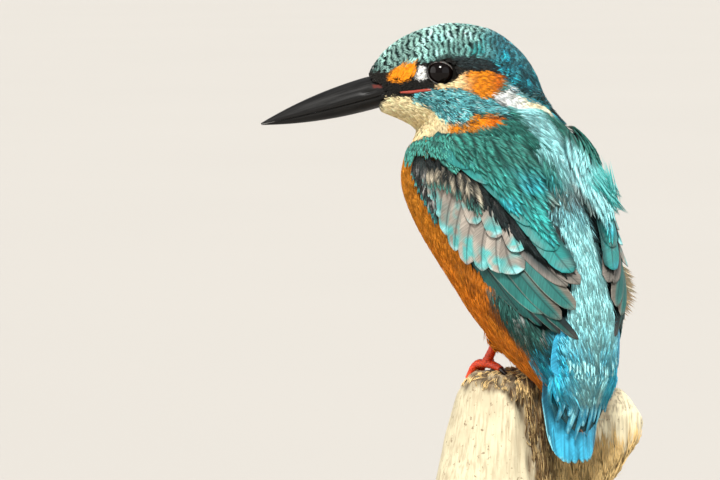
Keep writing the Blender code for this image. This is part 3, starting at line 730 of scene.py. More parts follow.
def tufts(surface, roots, normals, flow, length, width, lift, barbs, rng, ragged=0.15, mid=0.5, fat=1.7,
          scallop=0.3):
    """Fans of barbs laid along the surface: slivers' corners, their along values and their places across."""
    direction = unit(flow - normals * (flow * normals).sum(axis=1, keepdims=True))
    half_way, normal_1 = surface.nearest(roots + direction * (length / 2)[:, None])[:2]
    onward = unit(half_way - roots)
    far, normal_2 = surface.nearest(half_way + onward * (length / 2)[:, None])[:2]
    count = len(roots)
    lane = np.linspace(-1, 1, barbs)[None] + rng.normal(0, 0.5 / barbs, (count, barbs))
    reach = 1 - scallop * lane**2 + rng.normal(0, ragged / 2, (count, barbs))

    def spine(share):
        share = share[..., None]
        a, b, c = (v[:, None] for v in (roots, half_way, far))
        return a * (1 - share) * (1 - 2 * share) + b * 4 * share * (1 - share) + c * share * (2 * share - 1)

    side = unit(np.cross(direction, normals))[:, None]
    reach_side = (width / 2)[:, None, None] * side
    rise = (lift * length)[:, None]
    up_1 = normal_1[:, None] + 0 * side
    up_2 = normal_2[:, None]
    wave = rng.normal(0, 0.12, (count, barbs))
    start = roots[:, None] + reach_side * (lane * 0.3)[..., None] - normals[:, None] * 0.1
    middle = spine(mid * reach) + reach_side * (lane * 0.85)[..., None]
    middle = middle + up_1 * (0.25 + rise * mid**1.5 + wave * 0.3)[..., None]
    end = spine(reach) + reach_side * (lane * 0.8 + wave)[..., None]
    end = end + up_2 * (0.18 + rise + wave * 0.4)[..., None]
    thick = np.full((count, barbs), 0.0) + (width / barbs * 0.5)[:, None]
    wide = (width / barbs * fat)[:, None] * np.ones((1, barbs))
    corners = slivers(start, middle, end, np.broadcast_to(up_1, middle.shape), wide, thick)
    alpha = np.broadcast_to(np.array((0, mid, mid, mid, 1.0)), (count, barbs, 5))
    return corners, alpha, lane


def skin_spots(places):
    """Where places fall on the skin's own unwrap."""
    skin, corners = SHARED["skin"], SHARED["skin_map"]
    faces = skin.nearest(places)[2]
    return corners[faces].mean(axis=1)


def lie_of_coat(places):
    """The way the feathers point at places on the body."""
    head = to_head(places)
    x, y, z = places.T
    hx, hy, hz = head.T
    face = np.stack((-np.ones_like(hx), 0.25 * np.sign(hy) * ease(8, 18, hx), -0.1 + 0 * hx), axis=1)
    face[:, 2] -= 1.1 * ease(-10, -24, hx) * ease(-6, 3, hz)
    face[:, 2] -= 0.35 * ease(-3, -9, hz)
    face = unit(face) @ HEAD_AXES
    body = np.stack((0.04 * x * ease(75, 110, z), 0.25 + 0 * x, -1 + 0 * x), axis=1)
    body[:, 1] += 0.5 * ease(105, 75, z) * ease(12, -10, y)
    body[:, 1] += 0.5 * ease(118, 132, z) * ease(-18, 0, y)
    body[:, 0] -= 0.05 * x * ease(100, 80, z) * ease(10, 25, y)
    chest = ease(-8, -17, hz) * ease(-30, 0, hx)
    amount = np.maximum(ease(-12.5, -18.5, hz), 0.55 * chest)
    return unit(face + (unit(body) - face) * amount[:, None])


def in_eye_opening(places, swell=0.0):
    head = to_head(places) - EYE_PLACE
    return (head[:, 0] / (3.9 + swell)) ** 2 + (head[:, 2] / (3.25 + swell)) ** 2 < 1


def covered(places, normals, tree, reach=6.0):
    """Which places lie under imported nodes."""
    starts = (places - normals * 0.5).tolist()
    return np.array([tree.ray_cast(p, n, reach)[0] is not None for p, n in zip(starts, normals.tolist())])


def wing_tree():
    if "wings" not in SHARED:
        SHARED["wings"] = node_tree([f"wing_{s}_{layer}" for s, _ in SIDES for layer in WING_LAYERS])
        SHARED["bill"] = node_tree(["bill_upper", "bill_lower"])
    return SHARED["wings"]


def near_bill(places, distance):
    wing_tree()
    return np.array([SHARED["bill"].find_nearest(p)[3] < distance for p in places.tolist()])


def make_skin(context):
    """The skin: the body's form moved in by the coat's depth, with sockets for the eyes."""
    colours = plumage(context)
    depth = context.scene.kingfisher_sizes.coat_depth / MM
    obj = melted("skin", BODY_NODES, voxel=0.75, swell=0.2, rounds=6)
    places, normals, _ = mesh_arrays(obj)
    head = to_head(places)
    thin = ease(-20, -10, head[:, 2]) * ease(-30, -20, head[:, 0])
    tongue = ease(78, 68, places[:, 2]) * ease(14, 20, places[:, 1])
    inward = depth * (1 - 0.55 * thin) * (1 - 0.6 * tongue)
    inward = np.where(in_eye_opening(places, 0.6) & (head[:, 2] > -3), 0.3, inward)
    moved = places - normals * inward[:, None]
    obj.data.vertices.foreach_set("co", (moved * MM).astype(np.float32).ravel())
    obj.data.shade_smooth()
    make_active(obj)
    bpy.ops.object.mode_set(mode="EDIT")
    bpy.ops.mesh.select_all(action="SELECT")
    bpy.ops.uv.smart_project(angle_limit=math.radians(70), island_margin=0.004)
    bpy.ops.object.mode_set(mode="OBJECT")
    obj.data.uv_layers[0].name = "OFBake"
    # Painted shade: the skin shows between and under the feathers at half the markings' brightness, darker at
    # the rump's tongue and dark under the wings.
    tint = markings(places, colours) * (0.5 - 0.38 * tongue[:, None])
    under = under_wing(places, normals)
    tint[under] = colours["vane_dark"] * 0.6
    layer = obj.data.color_attributes.new("Plumage", "FLOAT_COLOR", "POINT")
    rgba = np.concatenate((tint, np.ones((len(tint), 1))), axis=1)
    layer.data.foreach_set("color", np.clip(rgba, 0, 1).astype(np.float32).ravel())
    obj.data.materials.append(skin_material())
    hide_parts(*BODY_NODES)
    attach(obj, "root")
    SHARED["skin"] = Surface(obj)
    uv = np.empty(len(obj.data.loops) * 2, np.float32)
    obj.data.uv_layers["OFBake"].data.foreach_get("uv", uv)
    loops = np.empty(len(obj.data.loop_triangles) * 3, np.int32)
    obj.data.loop_triangles.foreach_get("loops", loops)
    SHARED["skin_map"] = uv.reshape(-1, 2)[loops].reshape(-1, 3, 2).astype(float)


# ---------------------------------------------------------------- coat

# Each part of the coat: spacing, length, width, lift, barbs, raggedness, streaks and slot
COAT_PARTS = {
    "face": (0.55, 2.0, 0.85, 0.09, 5, 0.25, 0.15, "feathers_teal"),
    "lore": (0.6, 2.6, 0.8, 0.18, 4, 0.5, 0.3, "feathers_orange"),
    "streak": (0.75, 4.6, 1.3, 0.07, 8, 0.3, 0.8, "feathers_teal"),
    "ear": (0.8, 4.2, 1.4, 0.08, 8, 0.25, 0.25, "feathers_orange"),
    "patch": (0.8, 4.2, 1.6, 0.06, 8, 0.2, 0.06, "feathers_orange"),
    "cheek": (0.95, 3.8, 1.6, 0.11, 9, 0.3, 0.8, "feathers_teal"),
    "throat": (0.9, 4.2, 1.6, 0.05, 9, 0.2, 0.1, "feathers_orange"),
    "neck": (0.9, 5.5, 1.9, 0.08, 10, 0.2, 0.3, "feathers_teal"),
    "breast": (1.3, 6.5, 2.5, 0.075, 10, 0.25, 0.25, "feathers_orange"),
    "belly": (1.5, 8.5, 2.8, 0.05, 10, 0.3, 0.22, "feathers_orange"),
    "mantle": (0.95, 9.0, 2.4, 0.05, 12, 0.25, 0.4, "feathers_teal"),
    "hip": (1.15, 8.0, 2.6, 0.07, 11, 0.3, 0.45, "feathers_teal"),
    "rump": (1.05, 10.0, 2.3, 0.05, 11, 0.35, 0.28, "feathers_cyan"),
}
# Where the folded wing hides the coat, on the wing's plane
WING_COVER = (
    (3, 1.5), (9, 0.5), (30, -1), (62, -2), (66, 3), (57, 15), (44, 24), (32, 29), (19, 25), (12, 19),
    (6, 13.5), (3, 8.5),
)


def coat_part(places):
    """The name of the coat's part at each place, as an array."""
    head = to_head(places)
    profile = side_view(head)
    part = np.where(places[:, 2] > 100, "breast", "belly").astype("<U8")
    x, y, z = places.T
    back = y > back_edge(z)
    part[back] = np.where(z[back] > 98, "mantle", "hip")
    part[back & (np.abs(x) < stripe_half_width(z)) & (y > 0)] = "rump"
    part[back & (z < 70 - 0.03 * x**2)] = "bare"
    on_head = above_collar(profile) > 0
    part[on_head] = "face"
    part[on_head & (head[:, 0] < -12)] = "neck"
    areas = (
        (CHIN, "throat"), (COLLAR, "ear"), (CHEEK_STRIPE, "cheek"), (NECK_PATCH, "patch"), (EAR_PATCH, "ear"),
        (EYE_STREAK, "streak"), (LORE_SPOT, "lore"),
    )
    for corners, name in areas:
        part[on_head & (outline_depth(profile, corners) > 0)] = name
    part[on_head & (above_crown_edge(profile) > 0.2)] = "crown"
    return part


def contact_shade(places):
    """Painted shade: darkens the colour of feathers that lie close under the wings."""
    near = np.array([wing_tree().find_nearest(p)[3] for p in places.tolist()])
    return 0.45 + 0.55 * ease(0.2, 4.5, near)


def under_wing(places, normals):
    """Which places on the body the folded wings hide."""
    mirrored = places * np.where(places[:, :1] < 0, (-1, 1, 1), (1, 1, 1))
    flat = (mirrored - WING_BEND) @ WING_AXES.T
    return covered(places, normals, wing_tree()) & (outline_depth(flat[:, :2], WING_COVER) > 0)


def make_coat(context):
    """The small feathers of the body and head, in tufts that follow the lie of the coat."""
    colours = plumage(context)
    sizes = context.scene.kingfisher_sizes
    scale = sizes.feather_length / (6.5 * MM)
    form = body_form()
    contour = feather_material("contour feathers", 0.4, 0.1, 0.7)
    silky = feather_material("silky back feathers", 0.85, 0.0, 0.5, 0.5, 0.08)
    barred = feather_material("dark-based feathers", tuple(colours["crown_dark"]), 0.45, 0.8)
    for seed, (part, row) in enumerate(COAT_PARTS.items()):
        spacing, length, width, lift, barbs, ragged, streaks, slot = row
        rng = np.random.default_rng(100 + seed)
        roots, normals = form.scatter(spacing, lambda p: coat_part(p) == part, rng)
        ends = roots + lie_of_coat(roots) * length * 0.75
        keep = ~in_eye_opening(roots, 0.15) & ~in_eye_opening(ends, 0.15) & ~near_bill(roots, 0.45)
        keep &= ~under_wing(roots, normals)
        roots, normals = roots[keep], normals[keep]
        count = len(roots)
        flow = lie_of_coat(roots) + rng.normal(0, 0.09, (count, 3))
        if part == "lore":
            flow += HEAD_UP * 1.1
        long = length * scale * rng.uniform(0.8, 1.15, count)
        wide = width * rng.uniform(0.85, 1.15, count)
        corners, alpha, lane = tufts(form, roots, normals, flow, long, wide, lift, barbs, rng, ragged)
        tint = markings(roots + unit(flow) * 0.45 * long[:, None], colours)
        # Feathers close under the wings get painted shade: least on the rump and breast, most on the hip.
        close = contact_shade(roots)[:, None] ** {"rump": 0.25, "breast": 0.25, "hip": 1.2}.get(part, 0.6)
        tint = tint * np.exp(rng.normal(0, 0.08 + 0.4 * (part in ("cheek", "streak")), (count, 1))) * close
        shade = tint[:, None] * np.exp(streaks * rng.normal(-0.2, 0.8, (count, barbs, 1)))
        spots = np.repeat(skin_spots(roots)[:, None], barbs, axis=1)
        material = {"cheek": barred, "rump": silky, "patch": silky}.get(part, contour)
        piece = sliver_piece(f"coat_{part}", corners, shade, alpha, spots, lane, material)
        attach(piece, "root")


def make_flank(context):
    """Long loose feathers of the right flank, which stand out beside the wing."""
    colours = plumage(context)
    form = body_form()
    rng = np.random.default_rng(61)

    def from_middle(places):
        return np.hypot((places[:, 1] - 3) / 11, (places[:, 2] - 89) / 12)

    roots, normals = form.scatter(0.95, lambda p: (p[:, 0] < -10) & (from_middle(p) < 1), rng)
    far = from_middle(roots)
    keep = rng.random(len(roots)) > 0.9 * ease(0.4, 1.0, far)
    roots, normals, far = roots[keep], normals[keep], far[keep]
    count, barbs = len(roots), 34
    close = ease(0.55, 1.0, far)[:, None]
    flow = np.array((-0.8, 0.85, -0.35)) + rng.normal(0, 0.2, (count, 3))
    rise = unit(flow) * 0.55 + normals * 0.45
    rise = rise + (lie_of_coat(roots) * 0.9 + normals * 0.12 - rise) * close
    length = rng.uniform(8.0, 10.5, count) * (1 - 0.45 * far**2)
    width = rng.uniform(2.4, 3.4, count)
    side = unit(np.cross(rise, (0.0, 0.0, 1.0)))
    lane = np.linspace(-1, 1, barbs)[None] + rng.normal(0, 0.1, (count, barbs))
    reach = length[:, None] * (1 - 0.25 * lane**2) * rng.uniform(0.8, 1.1, (count, barbs))
    across = lane[..., None] * (width / 2)[:, None, None] * side[:, None]
    droop = np.array((0, 0.1, -0.22))
    start = roots[:, None] - normals[:, None] * 0.3 + across * 0.2
    middle = roots[:, None] + rise[:, None] * (0.5 * reach)[..., None] + across * 0.7
    end = roots[:, None] + (unit(rise)[:, None] + droop) * (0.8 * reach)[..., None] + across
    up = np.broadcast_to(normals[:, None], middle.shape)
    wide = np.full((count, barbs), 0.24)
    corners = slivers(start, middle, end, up, wide, wide * 0.25)
    own = markings(roots, colours)
    # Painted light: away from their roots, the loose flank feathers are paled towards white as if lit through
    # from behind.
    backlit_peach = colours["flank"] + (colours["white"] - colours["flank"]) * 0.35
    tint = (backlit_peach + (own - backlit_peach) * close)[:, None] * rng.uniform(0.88, 1.0, (count, barbs, 1))
    alpha = np.broadcast_to(ALONG_SLIVER, (count, barbs, 5))
    spots = np.repeat(skin_spots(roots)[:, None], barbs, axis=1)
    down = feather_material("flank down", 0.95, 0.0, 0.6, 0.8)
    piece = sliver_piece("coat_flank", corners, tint, alpha, spots, lane, down)
    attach(piece, "root")


def make_wisps(context):
    """A few long mantle feathers that blow loose over the right shoulder."""
    colours = plumage(context)
    rng = np.random.default_rng(67)
    lines, barbs = 9, 22
    first = np.array((-9.0, 15.0, 124.0)) + rng.normal(0, 2.2, (lines, 3))
    last = np.array((-21.8, 14.5, 108.5)) + rng.normal(0, 1.5, (lines, 3))
    last = last + np.linspace(0, 3.5, lines)[:, None] * (0.6, 0, 1)
    along = unit(last - first)[:, None]
    out = unit(np.cross(along, (0.0, 1.0, 0.0)))
    lane = rng.normal(0, 0.8, (lines, barbs, 1))
    t0, t1 = rng.uniform(0, 0.6, (lines, barbs, 1)), rng.uniform(0.75, 1.0, (lines, barbs, 1))
    span = (last - first)[:, None]
    start = first[:, None] + span * t0 + out * lane * 0.6
    end = first[:, None] + span * t1 + out * lane * 1.2 * (1.1 - t1)
    middle = (start + end) / 2 + out * (0.9 + 0.5 * lane) + np.array((0, 0.5, 0))
    wide = np.full((lines, barbs), 0.28)
    up = np.broadcast_to(np.array((0.0, 1.0, 0.0)), middle.shape)
    corners = slivers(start, middle, end, up, wide, wide * 0.4)
    tint = colours["scapular"] * 0.8 + colours["stripe"] * rng.uniform(0.0, 0.45, (lines, barbs, 1))
    alpha = np.broadcast_to(ALONG_SLIVER, (lines, barbs, 5))
    spots = np.repeat(skin_spots(first)[:, None], barbs, axis=1)
    loose = feather_material("loose mantle", 0.7, 0.0, 0.5)
    piece = sliver_piece("coat_wisps", corners, tint, alpha, spots, lane[..., 0], loose)
    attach(piece, "root")


def crown_roots(form, spacing, rng):
    """Roots in wavy rows across the crown and nape, with each one's share of the way back."""

    def zone(places):
        return coat_part(places) == "crown"

    places, normals = form.scatter(0.3, zone, rng)
    head = to_head(places)
    turn = np.arctan2(head[:, 2] + 16, -(head[:, 0] + 6))  # from the nape at 0 to the forehead
    share = 1 - turn / math.pi
    back = ease(0.45, 0.85, share)
    around = np.arctan2(head[:, 1], head[:, 2] + 8) * 16  # millimetres round the crown from its middle line
    lane = np.sin(around / 2.3 * math.pi + 1.2 * noise(places, 2.5, 32))  # feathers stand in staggered rows
    rows = (math.pi - turn) * 27 / spacing + 0.22 * np.clip(3 * lane, -1, 1) + 0.5 * noise(places, 3.2, 33)
    rows = rows + 0.2 * noise(places, 1.0, 34)
    off_row = np.abs(rows - np.round(rows))
    kept = off_row < 0.13 + 0.2 * back
    return places[kept], normals[kept], share[kept]


def make_crown(context):
    """The barred crown: rows of short dark feathers, each with a bright bar near its end."""
    colours = plumage(context)
    spacing = context.scene.kingfisher_sizes.bar_spacing / MM
    form = body_form()
    rng = np.random.default_rng(31)
    roots, normals, share = crown_roots(form, spacing, rng)
    keep = ~in_eye_opening(roots, 0.2) & ~near_bill(roots, 0.4)
    roots, normals, share = roots[keep], normals[keep], share[keep]
    flow = lie_of_coat(roots) + rng.normal(0, 0.03, roots.shape)
    count, barbs = len(roots), 6
    back = ease(0.45, 0.95, share)
    length = (spacing * 1.75 + 3.2 * back) * rng.uniform(0.97, 1.03, count)
    width = (1.0 + 0.7 * back) * rng.uniform(0.9, 1.1, count)
    lift = 0.10 + 0.10 * back * rng.uniform(0, 1, count)
    corners, alpha, lane = tufts(form, roots, normals, flow, length, width, lift, barbs, rng, 0.05, mid=0.6,
                                 fat=1.5, scallop=0.14)
    grey = 0.7 + 0.6 * ease(-0.4, 0.4, noise(roots, 2.2, 35))[:, None]
    # Painted shade: patches of the nape's feathers are darkened to stand for the shade in the gaps between
    # them.
    painted_gap_shade = 1.5 * back[:, None] * ease(0.35, -0.3, noise(roots * (1, 1, 0.6), 1.3, 36))[:, None]
    uneven = (0.15 + 0.7 * back[:, None]) * rng.normal(0.1, 1, (count, 1)) - 1.3 * painted_gap_shade
    tint = markings(roots, colours) * grey * np.exp(uneven)
    loose = (0.15 + 0.5 * back)[:, None, None]
    shade = tint[:, None] * np.exp(loose * rng.normal(-0.15, 0.8, (count, barbs, 1)))
    spots = np.repeat(skin_spots(roots)[:, None], barbs, axis=1)
    material = feather_material("barred crown feathers", tuple(colours["crown_dark"]), 0.64, 0.72, 0.5)
    for name, part in (("coat_crown", share < 0.5), ("coat_nape", share >= 0.5)):
        piece = sliver_piece(name, corners[part], shade[part], alpha[part], spots[part], lane[part], material)
        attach(piece, "root")


# ---------------------------------------------------------------- large feathers


class Sheet:
    """The smooth surface that a group of large feathers lies on, as heights over a plane."""

    def __init__(self, tree, origin, axes, width, height, mirrored=False):
        self.origin, self.axes, self.mirrored = np.asarray(origin, float), axes, mirrored
        self.low = np.array((width[0], height[0]), float)
        grid_x, grid_y = np.meshgrid(np.arange(*width), np.arange(*height), indexing="ij")
        flat = np.stack((grid_x, grid_y, 0 * grid_x + 32.0), axis=-1).reshape(-1, 3)
        starts = self.to_world(flat)
        down = -self.out_vector()
        levels = np.full(len(flat), np.nan)
        for i, start in enumerate(starts.tolist()):
            hit = tree.ray_cast(start, down, 60.0)
            if hit[0] is not None:
                levels[i] = 32.0 - hit[3]
        self.levels = self.filled(levels.reshape(grid_x.shape))

    @staticmethod
    def filled(levels):
        """Fills the places that no ray met from their neighbours, then smooths the whole."""
        for step in range(60):
            padded = np.pad(levels, 1, mode="edge")
            around = np.stack([padded[1 + i : padded.shape[0] - 1 + i, 1 + j : padded.shape[1] - 1 + j]
                               for i in (-1, 0, 1) for j in (-1, 0, 1)])
            if np.isnan(levels).any():
                known = (~np.isnan(around)).sum(axis=0)
                mean = np.nan_to_num(around).sum(axis=0) / np.maximum(known, 1)
                levels = np.where(np.isnan(levels) & (known > 0), mean, levels)
            elif step > 53:
                levels = around.mean(axis=0)
        return np.nan_to_num(levels)

    def out_vector(self):
        out = self.axes[2].copy()
        if self.mirrored:
            out[0] = -out[0]
        return out

    def to_world(self, flat):
        world = flat @ self.axes + self.origin
        if self.mirrored:
            world[..., 0] = -world[..., 0]
        return world

    def lay(self, flat, height):
        """World places over points of the plane, at a height above the sheet."""
        q = np.clip(flat - self.low, 0.001, np.array(self.levels.shape) - 1.001)
        i = q.astype(int)
        f = q - i
        a, b = i[..., 0], i[..., 1]
        fa, fb = f[..., 0], f[..., 1]
        grid = self.levels
        level = grid[a, b] * (1 - fa) * (1 - fb) + grid[a + 1, b] * fa * (1 - fb)
        level = level + grid[a, b + 1] * (1 - fa) * fb + grid[a + 1, b + 1] * fa * fb
        return self.to_world(np.concatenate((flat, (level + height)[..., None]), axis=-1))


class FeatherRow:
    """Like feathers side by side: their roots and tips on a sheet's plane, widths and heights."""

    def __init__(self, roots, tips, width, low, high, bend=0.0, count=None, point=0.0, tilt=0.0):
        roots, tips = np.asarray(roots, float), np.asarray(tips, float)
        if count:
            shares = np.linspace(0, 1, count)
            roots, tips = along_path(roots, shares), along_path(tips, shares)
        self.count = len(tips)
        self.roots, self.tips, self.bend, self.point = roots, tips, bend, point
        self.width = np.broadcast_to(np.asarray(width, float), (self.count,))
        self.tilt = self.spread(tilt)
        self.low = self.spread(low)
        self.high = self.spread(high)
        self.length = np.linalg.norm(tips - roots, axis=1)
        self.along = (tips - roots) / self.length[:, None]
        self.across = np.stack((-self.along[:, 1], self.along[:, 0]), axis=1)

    def spread(self, value):
        """One value for every feather, or a pair eased from the first feather to the last."""
        if np.ndim(value) == 1 and len(value) == 2:
            return np.linspace(value[0], value[1], self.count)
        return np.broadcast_to(np.asarray(value, float), (self.count,))

    def half_width(self, t, width):
        """Half the vane's width at a share of its length."""
        root = 0.45 + 0.55 * ease(0, 0.35, t)
        blunt = np.sqrt(np.clip(1 - (np.clip(t - 0.66, 0, 1) / 0.37) ** 2, 0.02, 1))
        sharp = np.clip(1.12 - t, 0.05, 1) ** 0.8
        return width / 2 * root * (blunt * (1 - self.point) + sharp * self.point)

    def flat(self, t, s):
        """Places on the plane at shares t along each feather and s millimetres beside its shaft."""
        expand = (slice(None),) + (None,) * (t.ndim - 1)
        bow = self.bend * 4 * t * (1 - t)
        places = self.roots[expand] + (self.along * self.length[:, None])[expand] * t[..., None]
        return places + self.across[expand] * (s + bow)[..., None]

    def height(self, t, u, camber):
        expand = (slice(None),) + (None,) * (t.ndim - 1)
        rise = (self.high - self.low)[expand] * np.clip(t, 0, 1.1) ** 1.2
        return self.low[expand] + rise - camber * u**2 - self.tilt[expand] * u


def barbed_piece(name, sheet, rows, paint, material, rng, replaced=()):
    """Feathers made of separate barbs that leave a shaft on both sides.

    rows holds (FeatherRow, barbs on a side, looseness). paint gives colours for world places, shares
    along the feather and shares across it.
    """
    pieces = []
    total = sum(row.count for row, _, _ in rows)
    cells = math.ceil(math.sqrt(total))
    done = 0
    for row, barbs, loose in rows:
        count = row.count
        shape = (count, 2, barbs)
        t0 = (np.arange(barbs) + 0.3) / barbs * 0.95
        t0 = t0[None, None] + rng.normal(0, 0.25 / barbs, shape)
        t0 = np.clip(t0, 0.0, 0.97)
        t1 = t0 + 0.46 * (1 - 0.4 * t0) + rng.normal(0, 0.015 + 0.05 * loose, shape)
        t1 = np.where(t1 > 1, 1 + (t1 - 1) * 0.22, t1)
        side = np.array((-1.0, 1.0))[None, :, None]
        width = row.width[:, None, None]
        s1 = side * row.half_width(np.clip(t1, 0, 1), width) * (1 + rng.normal(0, 0.03 + 0.10 * loose, shape))
        tm, sm = t0 + (t1 - t0) * 0.5, s1 * 0.66
        wave = rng.normal(0, 0.02 + 0.09 * loose, shape)

        def place(t, s, extra):
            u = s / (width / 2)
            return sheet.lay(row.flat(t, s), row.height(t, u, 0.18) + extra)

        start = place(t0, 0 * s1, -0.05)
        middle = place(tm, sm, 0.04 + wave * 0.4)
        end = place(t1, s1, wave - 0.04)
        up = np.broadcast_to(sheet.out_vector(), middle.shape)
        gap = (row.length / barbs)[:, None, None] * 0.75 + 0.16
        fat = np.broadcast_to(gap, shape)
        corners = slivers(start, middle, end, up, fat, fat * 0 + 0.09)
        shares = np.stack((t0, tm, tm, tm, t1), axis=-1)
        beside = np.stack((0 * s1, sm, sm, sm, s1), axis=-1) / (width / 2)[..., None]
        colours = paint(corners, shares, np.broadcast_to(beside, shares.shape))
        shade = np.exp(rng.normal(-0.03, 0.16 + 0.2 * loose, shape)) * rng.uniform(0.82, 1.15, (count, 1, 1))
        shaft = 0.72 + 0.28 * ease(0.0, 0.3, np.abs(beside))
        colours = colours * (shade[..., None] * shaft)[..., None]
        cell = np.arange(done, done + count)
        spot = (np.stack((cell % cells, cell // cells), axis=1) + 0.5) / cells
        spot = spot[:, None, None] + np.stack((s1 / width * 0.8, t0 - 0.5), axis=-1) * 0.8 / cells
        pieces.append((corners, colours, spot, shares))
        done += count
    corners = np.concatenate([p[0].reshape(-1, 5, 3) for p in pieces])
    colours = np.concatenate([p[1].reshape(-1, 5, 3) for p in pieces])
    spots = np.concatenate([p[2].reshape(-1, 2) for p in pieces])
    alpha = np.broadcast_to(ALONG_SLIVER, (len(corners), 5))
    triangles = (SLIVER[None] + 5 * np.arange(len(corners))[:, None, None]).reshape(-1, 3)
    rgba = np.concatenate((colours.reshape(-1, 3), alpha.reshape(-1, 1)), axis=1)
    aside = np.broadcast_to(np.array((0, -0.2, 0.2, 0, 0)), alpha.shape)
    uv = (spots[:, None] + np.stack((aside, alpha - 0.5), axis=-1) * PATCH).reshape(-1, 2)
    piece = array_object(name, corners.reshape(-1, 3), triangles, material, rgba, (("OFBake", uv),))
    if replaced:
        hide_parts(*replaced)
    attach(piece, "root")


def blade_piece(name, sheet, rows, paint, material, rng, replaced=(), thickness=0.14, shaft_shade=0.5):
    """Feathers with a closed vane each: a thin cambered blade with a raised shaft and a ragged edge."""
    lengths = 24
    t = np.linspace(0, 1, lengths)[None, :, None] ** 0.92
    right = np.array((0.05, 0.12, 0.32, 0.55, 0.75, 0.88, 0.94, 1.0))
    u = np.concatenate((-right[::-1], (0.0,), right))[None, None, :]
    columns = u.size
    places, tints, vanes, bakes = [], [], [], []
    total = sum(row.count for row in rows)
    cells = math.ceil(math.sqrt(total))
    done = 0
    for row in rows:
        tt = t * (1 - 0.075 * np.abs(u) ** 2.2 * (1 - row.point)) + 0 * row.width[:, None, None]
        notch = np.clip(rng.normal(0, 1, (row.count, lengths, 2)) - 1.1, 0, 1.2) * 0.07
        edge = np.where(u < 0, notch[:, :, :1], notch[:, :, 1:]) * np.abs(u) ** 4
        s = u * row.half_width(tt, row.width[:, None, None]) * (1 - edge)
        shaft = 0.12 * np.exp(-((s / 0.35) ** 2)) * (1 - 0.7 * tt)
        ripple = 0.05 * rng.normal(0, 1, (row.count, 1, columns)) * ease(0.2, 0.9, tt)
        top = sheet.lay(row.flat(tt, s), row.height(tt, u + 0 * tt, 0.32) + shaft + ripple)
        under = top - sheet.out_vector() * thickness
        tint = paint(top, tt, u + 0 * tt) * rng.uniform(0.85, 1.12, (row.count, 1, 1, 1))
        tint = tint * (shaft_shade + (1 - shaft_shade) * ease(0.03, 0.12, np.abs(u) + 0 * tt))[..., None]
        shift = rng.uniform(0, 400, (row.count, 1, 1))
        along = tt * row.length[:, None, None] - 0.9 * np.abs(s) + shift
        vane = np.stack((s + np.where(s < 0, 300, 0), along), axis=-1)
        cell = np.arange(done, done + row.count)
        corner = (np.stack((cell % cells, cell // cells), axis=1) / cells)[:, None, None]
        size = 0.94 / cells
        for half, layer in ((0.0, top), (0.5, under)):
            spot = np.stack(((u + 1) * 0.23 + half + 0 * tt, tt * 0.96 + 0.01), axis=-1) * size
            places.append(layer.reshape(row.count, -1, 3))
            tints.append((tint * (1.0 if half == 0 else 0.5)).reshape(row.count, -1, 3))
            vanes.append(vane.reshape(row.count, -1, 2))
            bakes.append((corner + spot).reshape(row.count, -1, 2))
        done += row.count
    sheets = lengths * columns

    def joined(parts):
        pairs = [np.stack((parts[i], parts[i + 1]), axis=1) for i in range(0, len(parts), 2)]
        return np.concatenate(pairs).reshape(-1, parts[0].shape[-1])

    grid = np.arange(sheets).reshape(lengths, columns)
    a, b, c, d = (g.ravel() for g in (grid[:-1, :-1], grid[:-1, 1:], grid[1:, 1:], grid[1:, :-1]))
    face = np.concatenate((np.stack((a, c, b), axis=1), np.stack((a, d, c), axis=1)))
    rim = np.concatenate((grid[0, :-1], grid[:-1, -1], grid[-1, :0:-1], grid[:0:-1, 0]))
    onward = np.roll(rim, -1)
    first_wall = np.stack((rim, onward, onward + sheets), axis=1)
    second_wall = np.stack((rim, onward + sheets, rim + sheets), axis=1)
    one = np.concatenate((face, face[:, ::-1] + sheets, first_wall, second_wall))
    triangles = (one[None] + 2 * sheets * np.arange(total)[:, None, None]).reshape(-1, 3)
    if sheet.mirrored:
        triangles = triangles[:, ::-1]
    tint = joined(tints)
    rgba = np.concatenate((tint, np.ones((len(tint), 1))), axis=1)
    maps = (("OFBake", joined(bakes)), ("Vane", joined(vanes)))
    piece = array_object(name, joined(places), triangles, material, rgba, maps)
    if replaced:
        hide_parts(*replaced)
    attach(piece, "root")


# Rows of the folded wing, on its plane: (towards the tip, towards the back) in millimetres
SHOULDER_OUTLINE = (
    (-0.5, 2.6), (2.6, 2.6), (3.6, 6.6), (7.5, 8.8), (11, 11.4), (18, 12.5), (18, 20), (9, 17.5), (3, 12.5),
    (-0.5, 9),
)
SCAPULAR_OUTLINE = (
    (14, 15.5), (30, 16), (48, 15.5), (51, 17), (44, 22.5), (37, 26.5), (30, 28.5), (20, 25), (13, 18.5),
)
COVERT_ROOTS = ((9.5, 9.5), (14, 12), (19, 13.4), (25, 13.6), (32, 13), (37, 11.5))
COVERT_TIPS = ((12.5, 3.6), (17.5, 1.8), (23, -1.2), (29.5, -3.0), (37, -2.8), (43.5, 0.8), (48.5, 4.6))


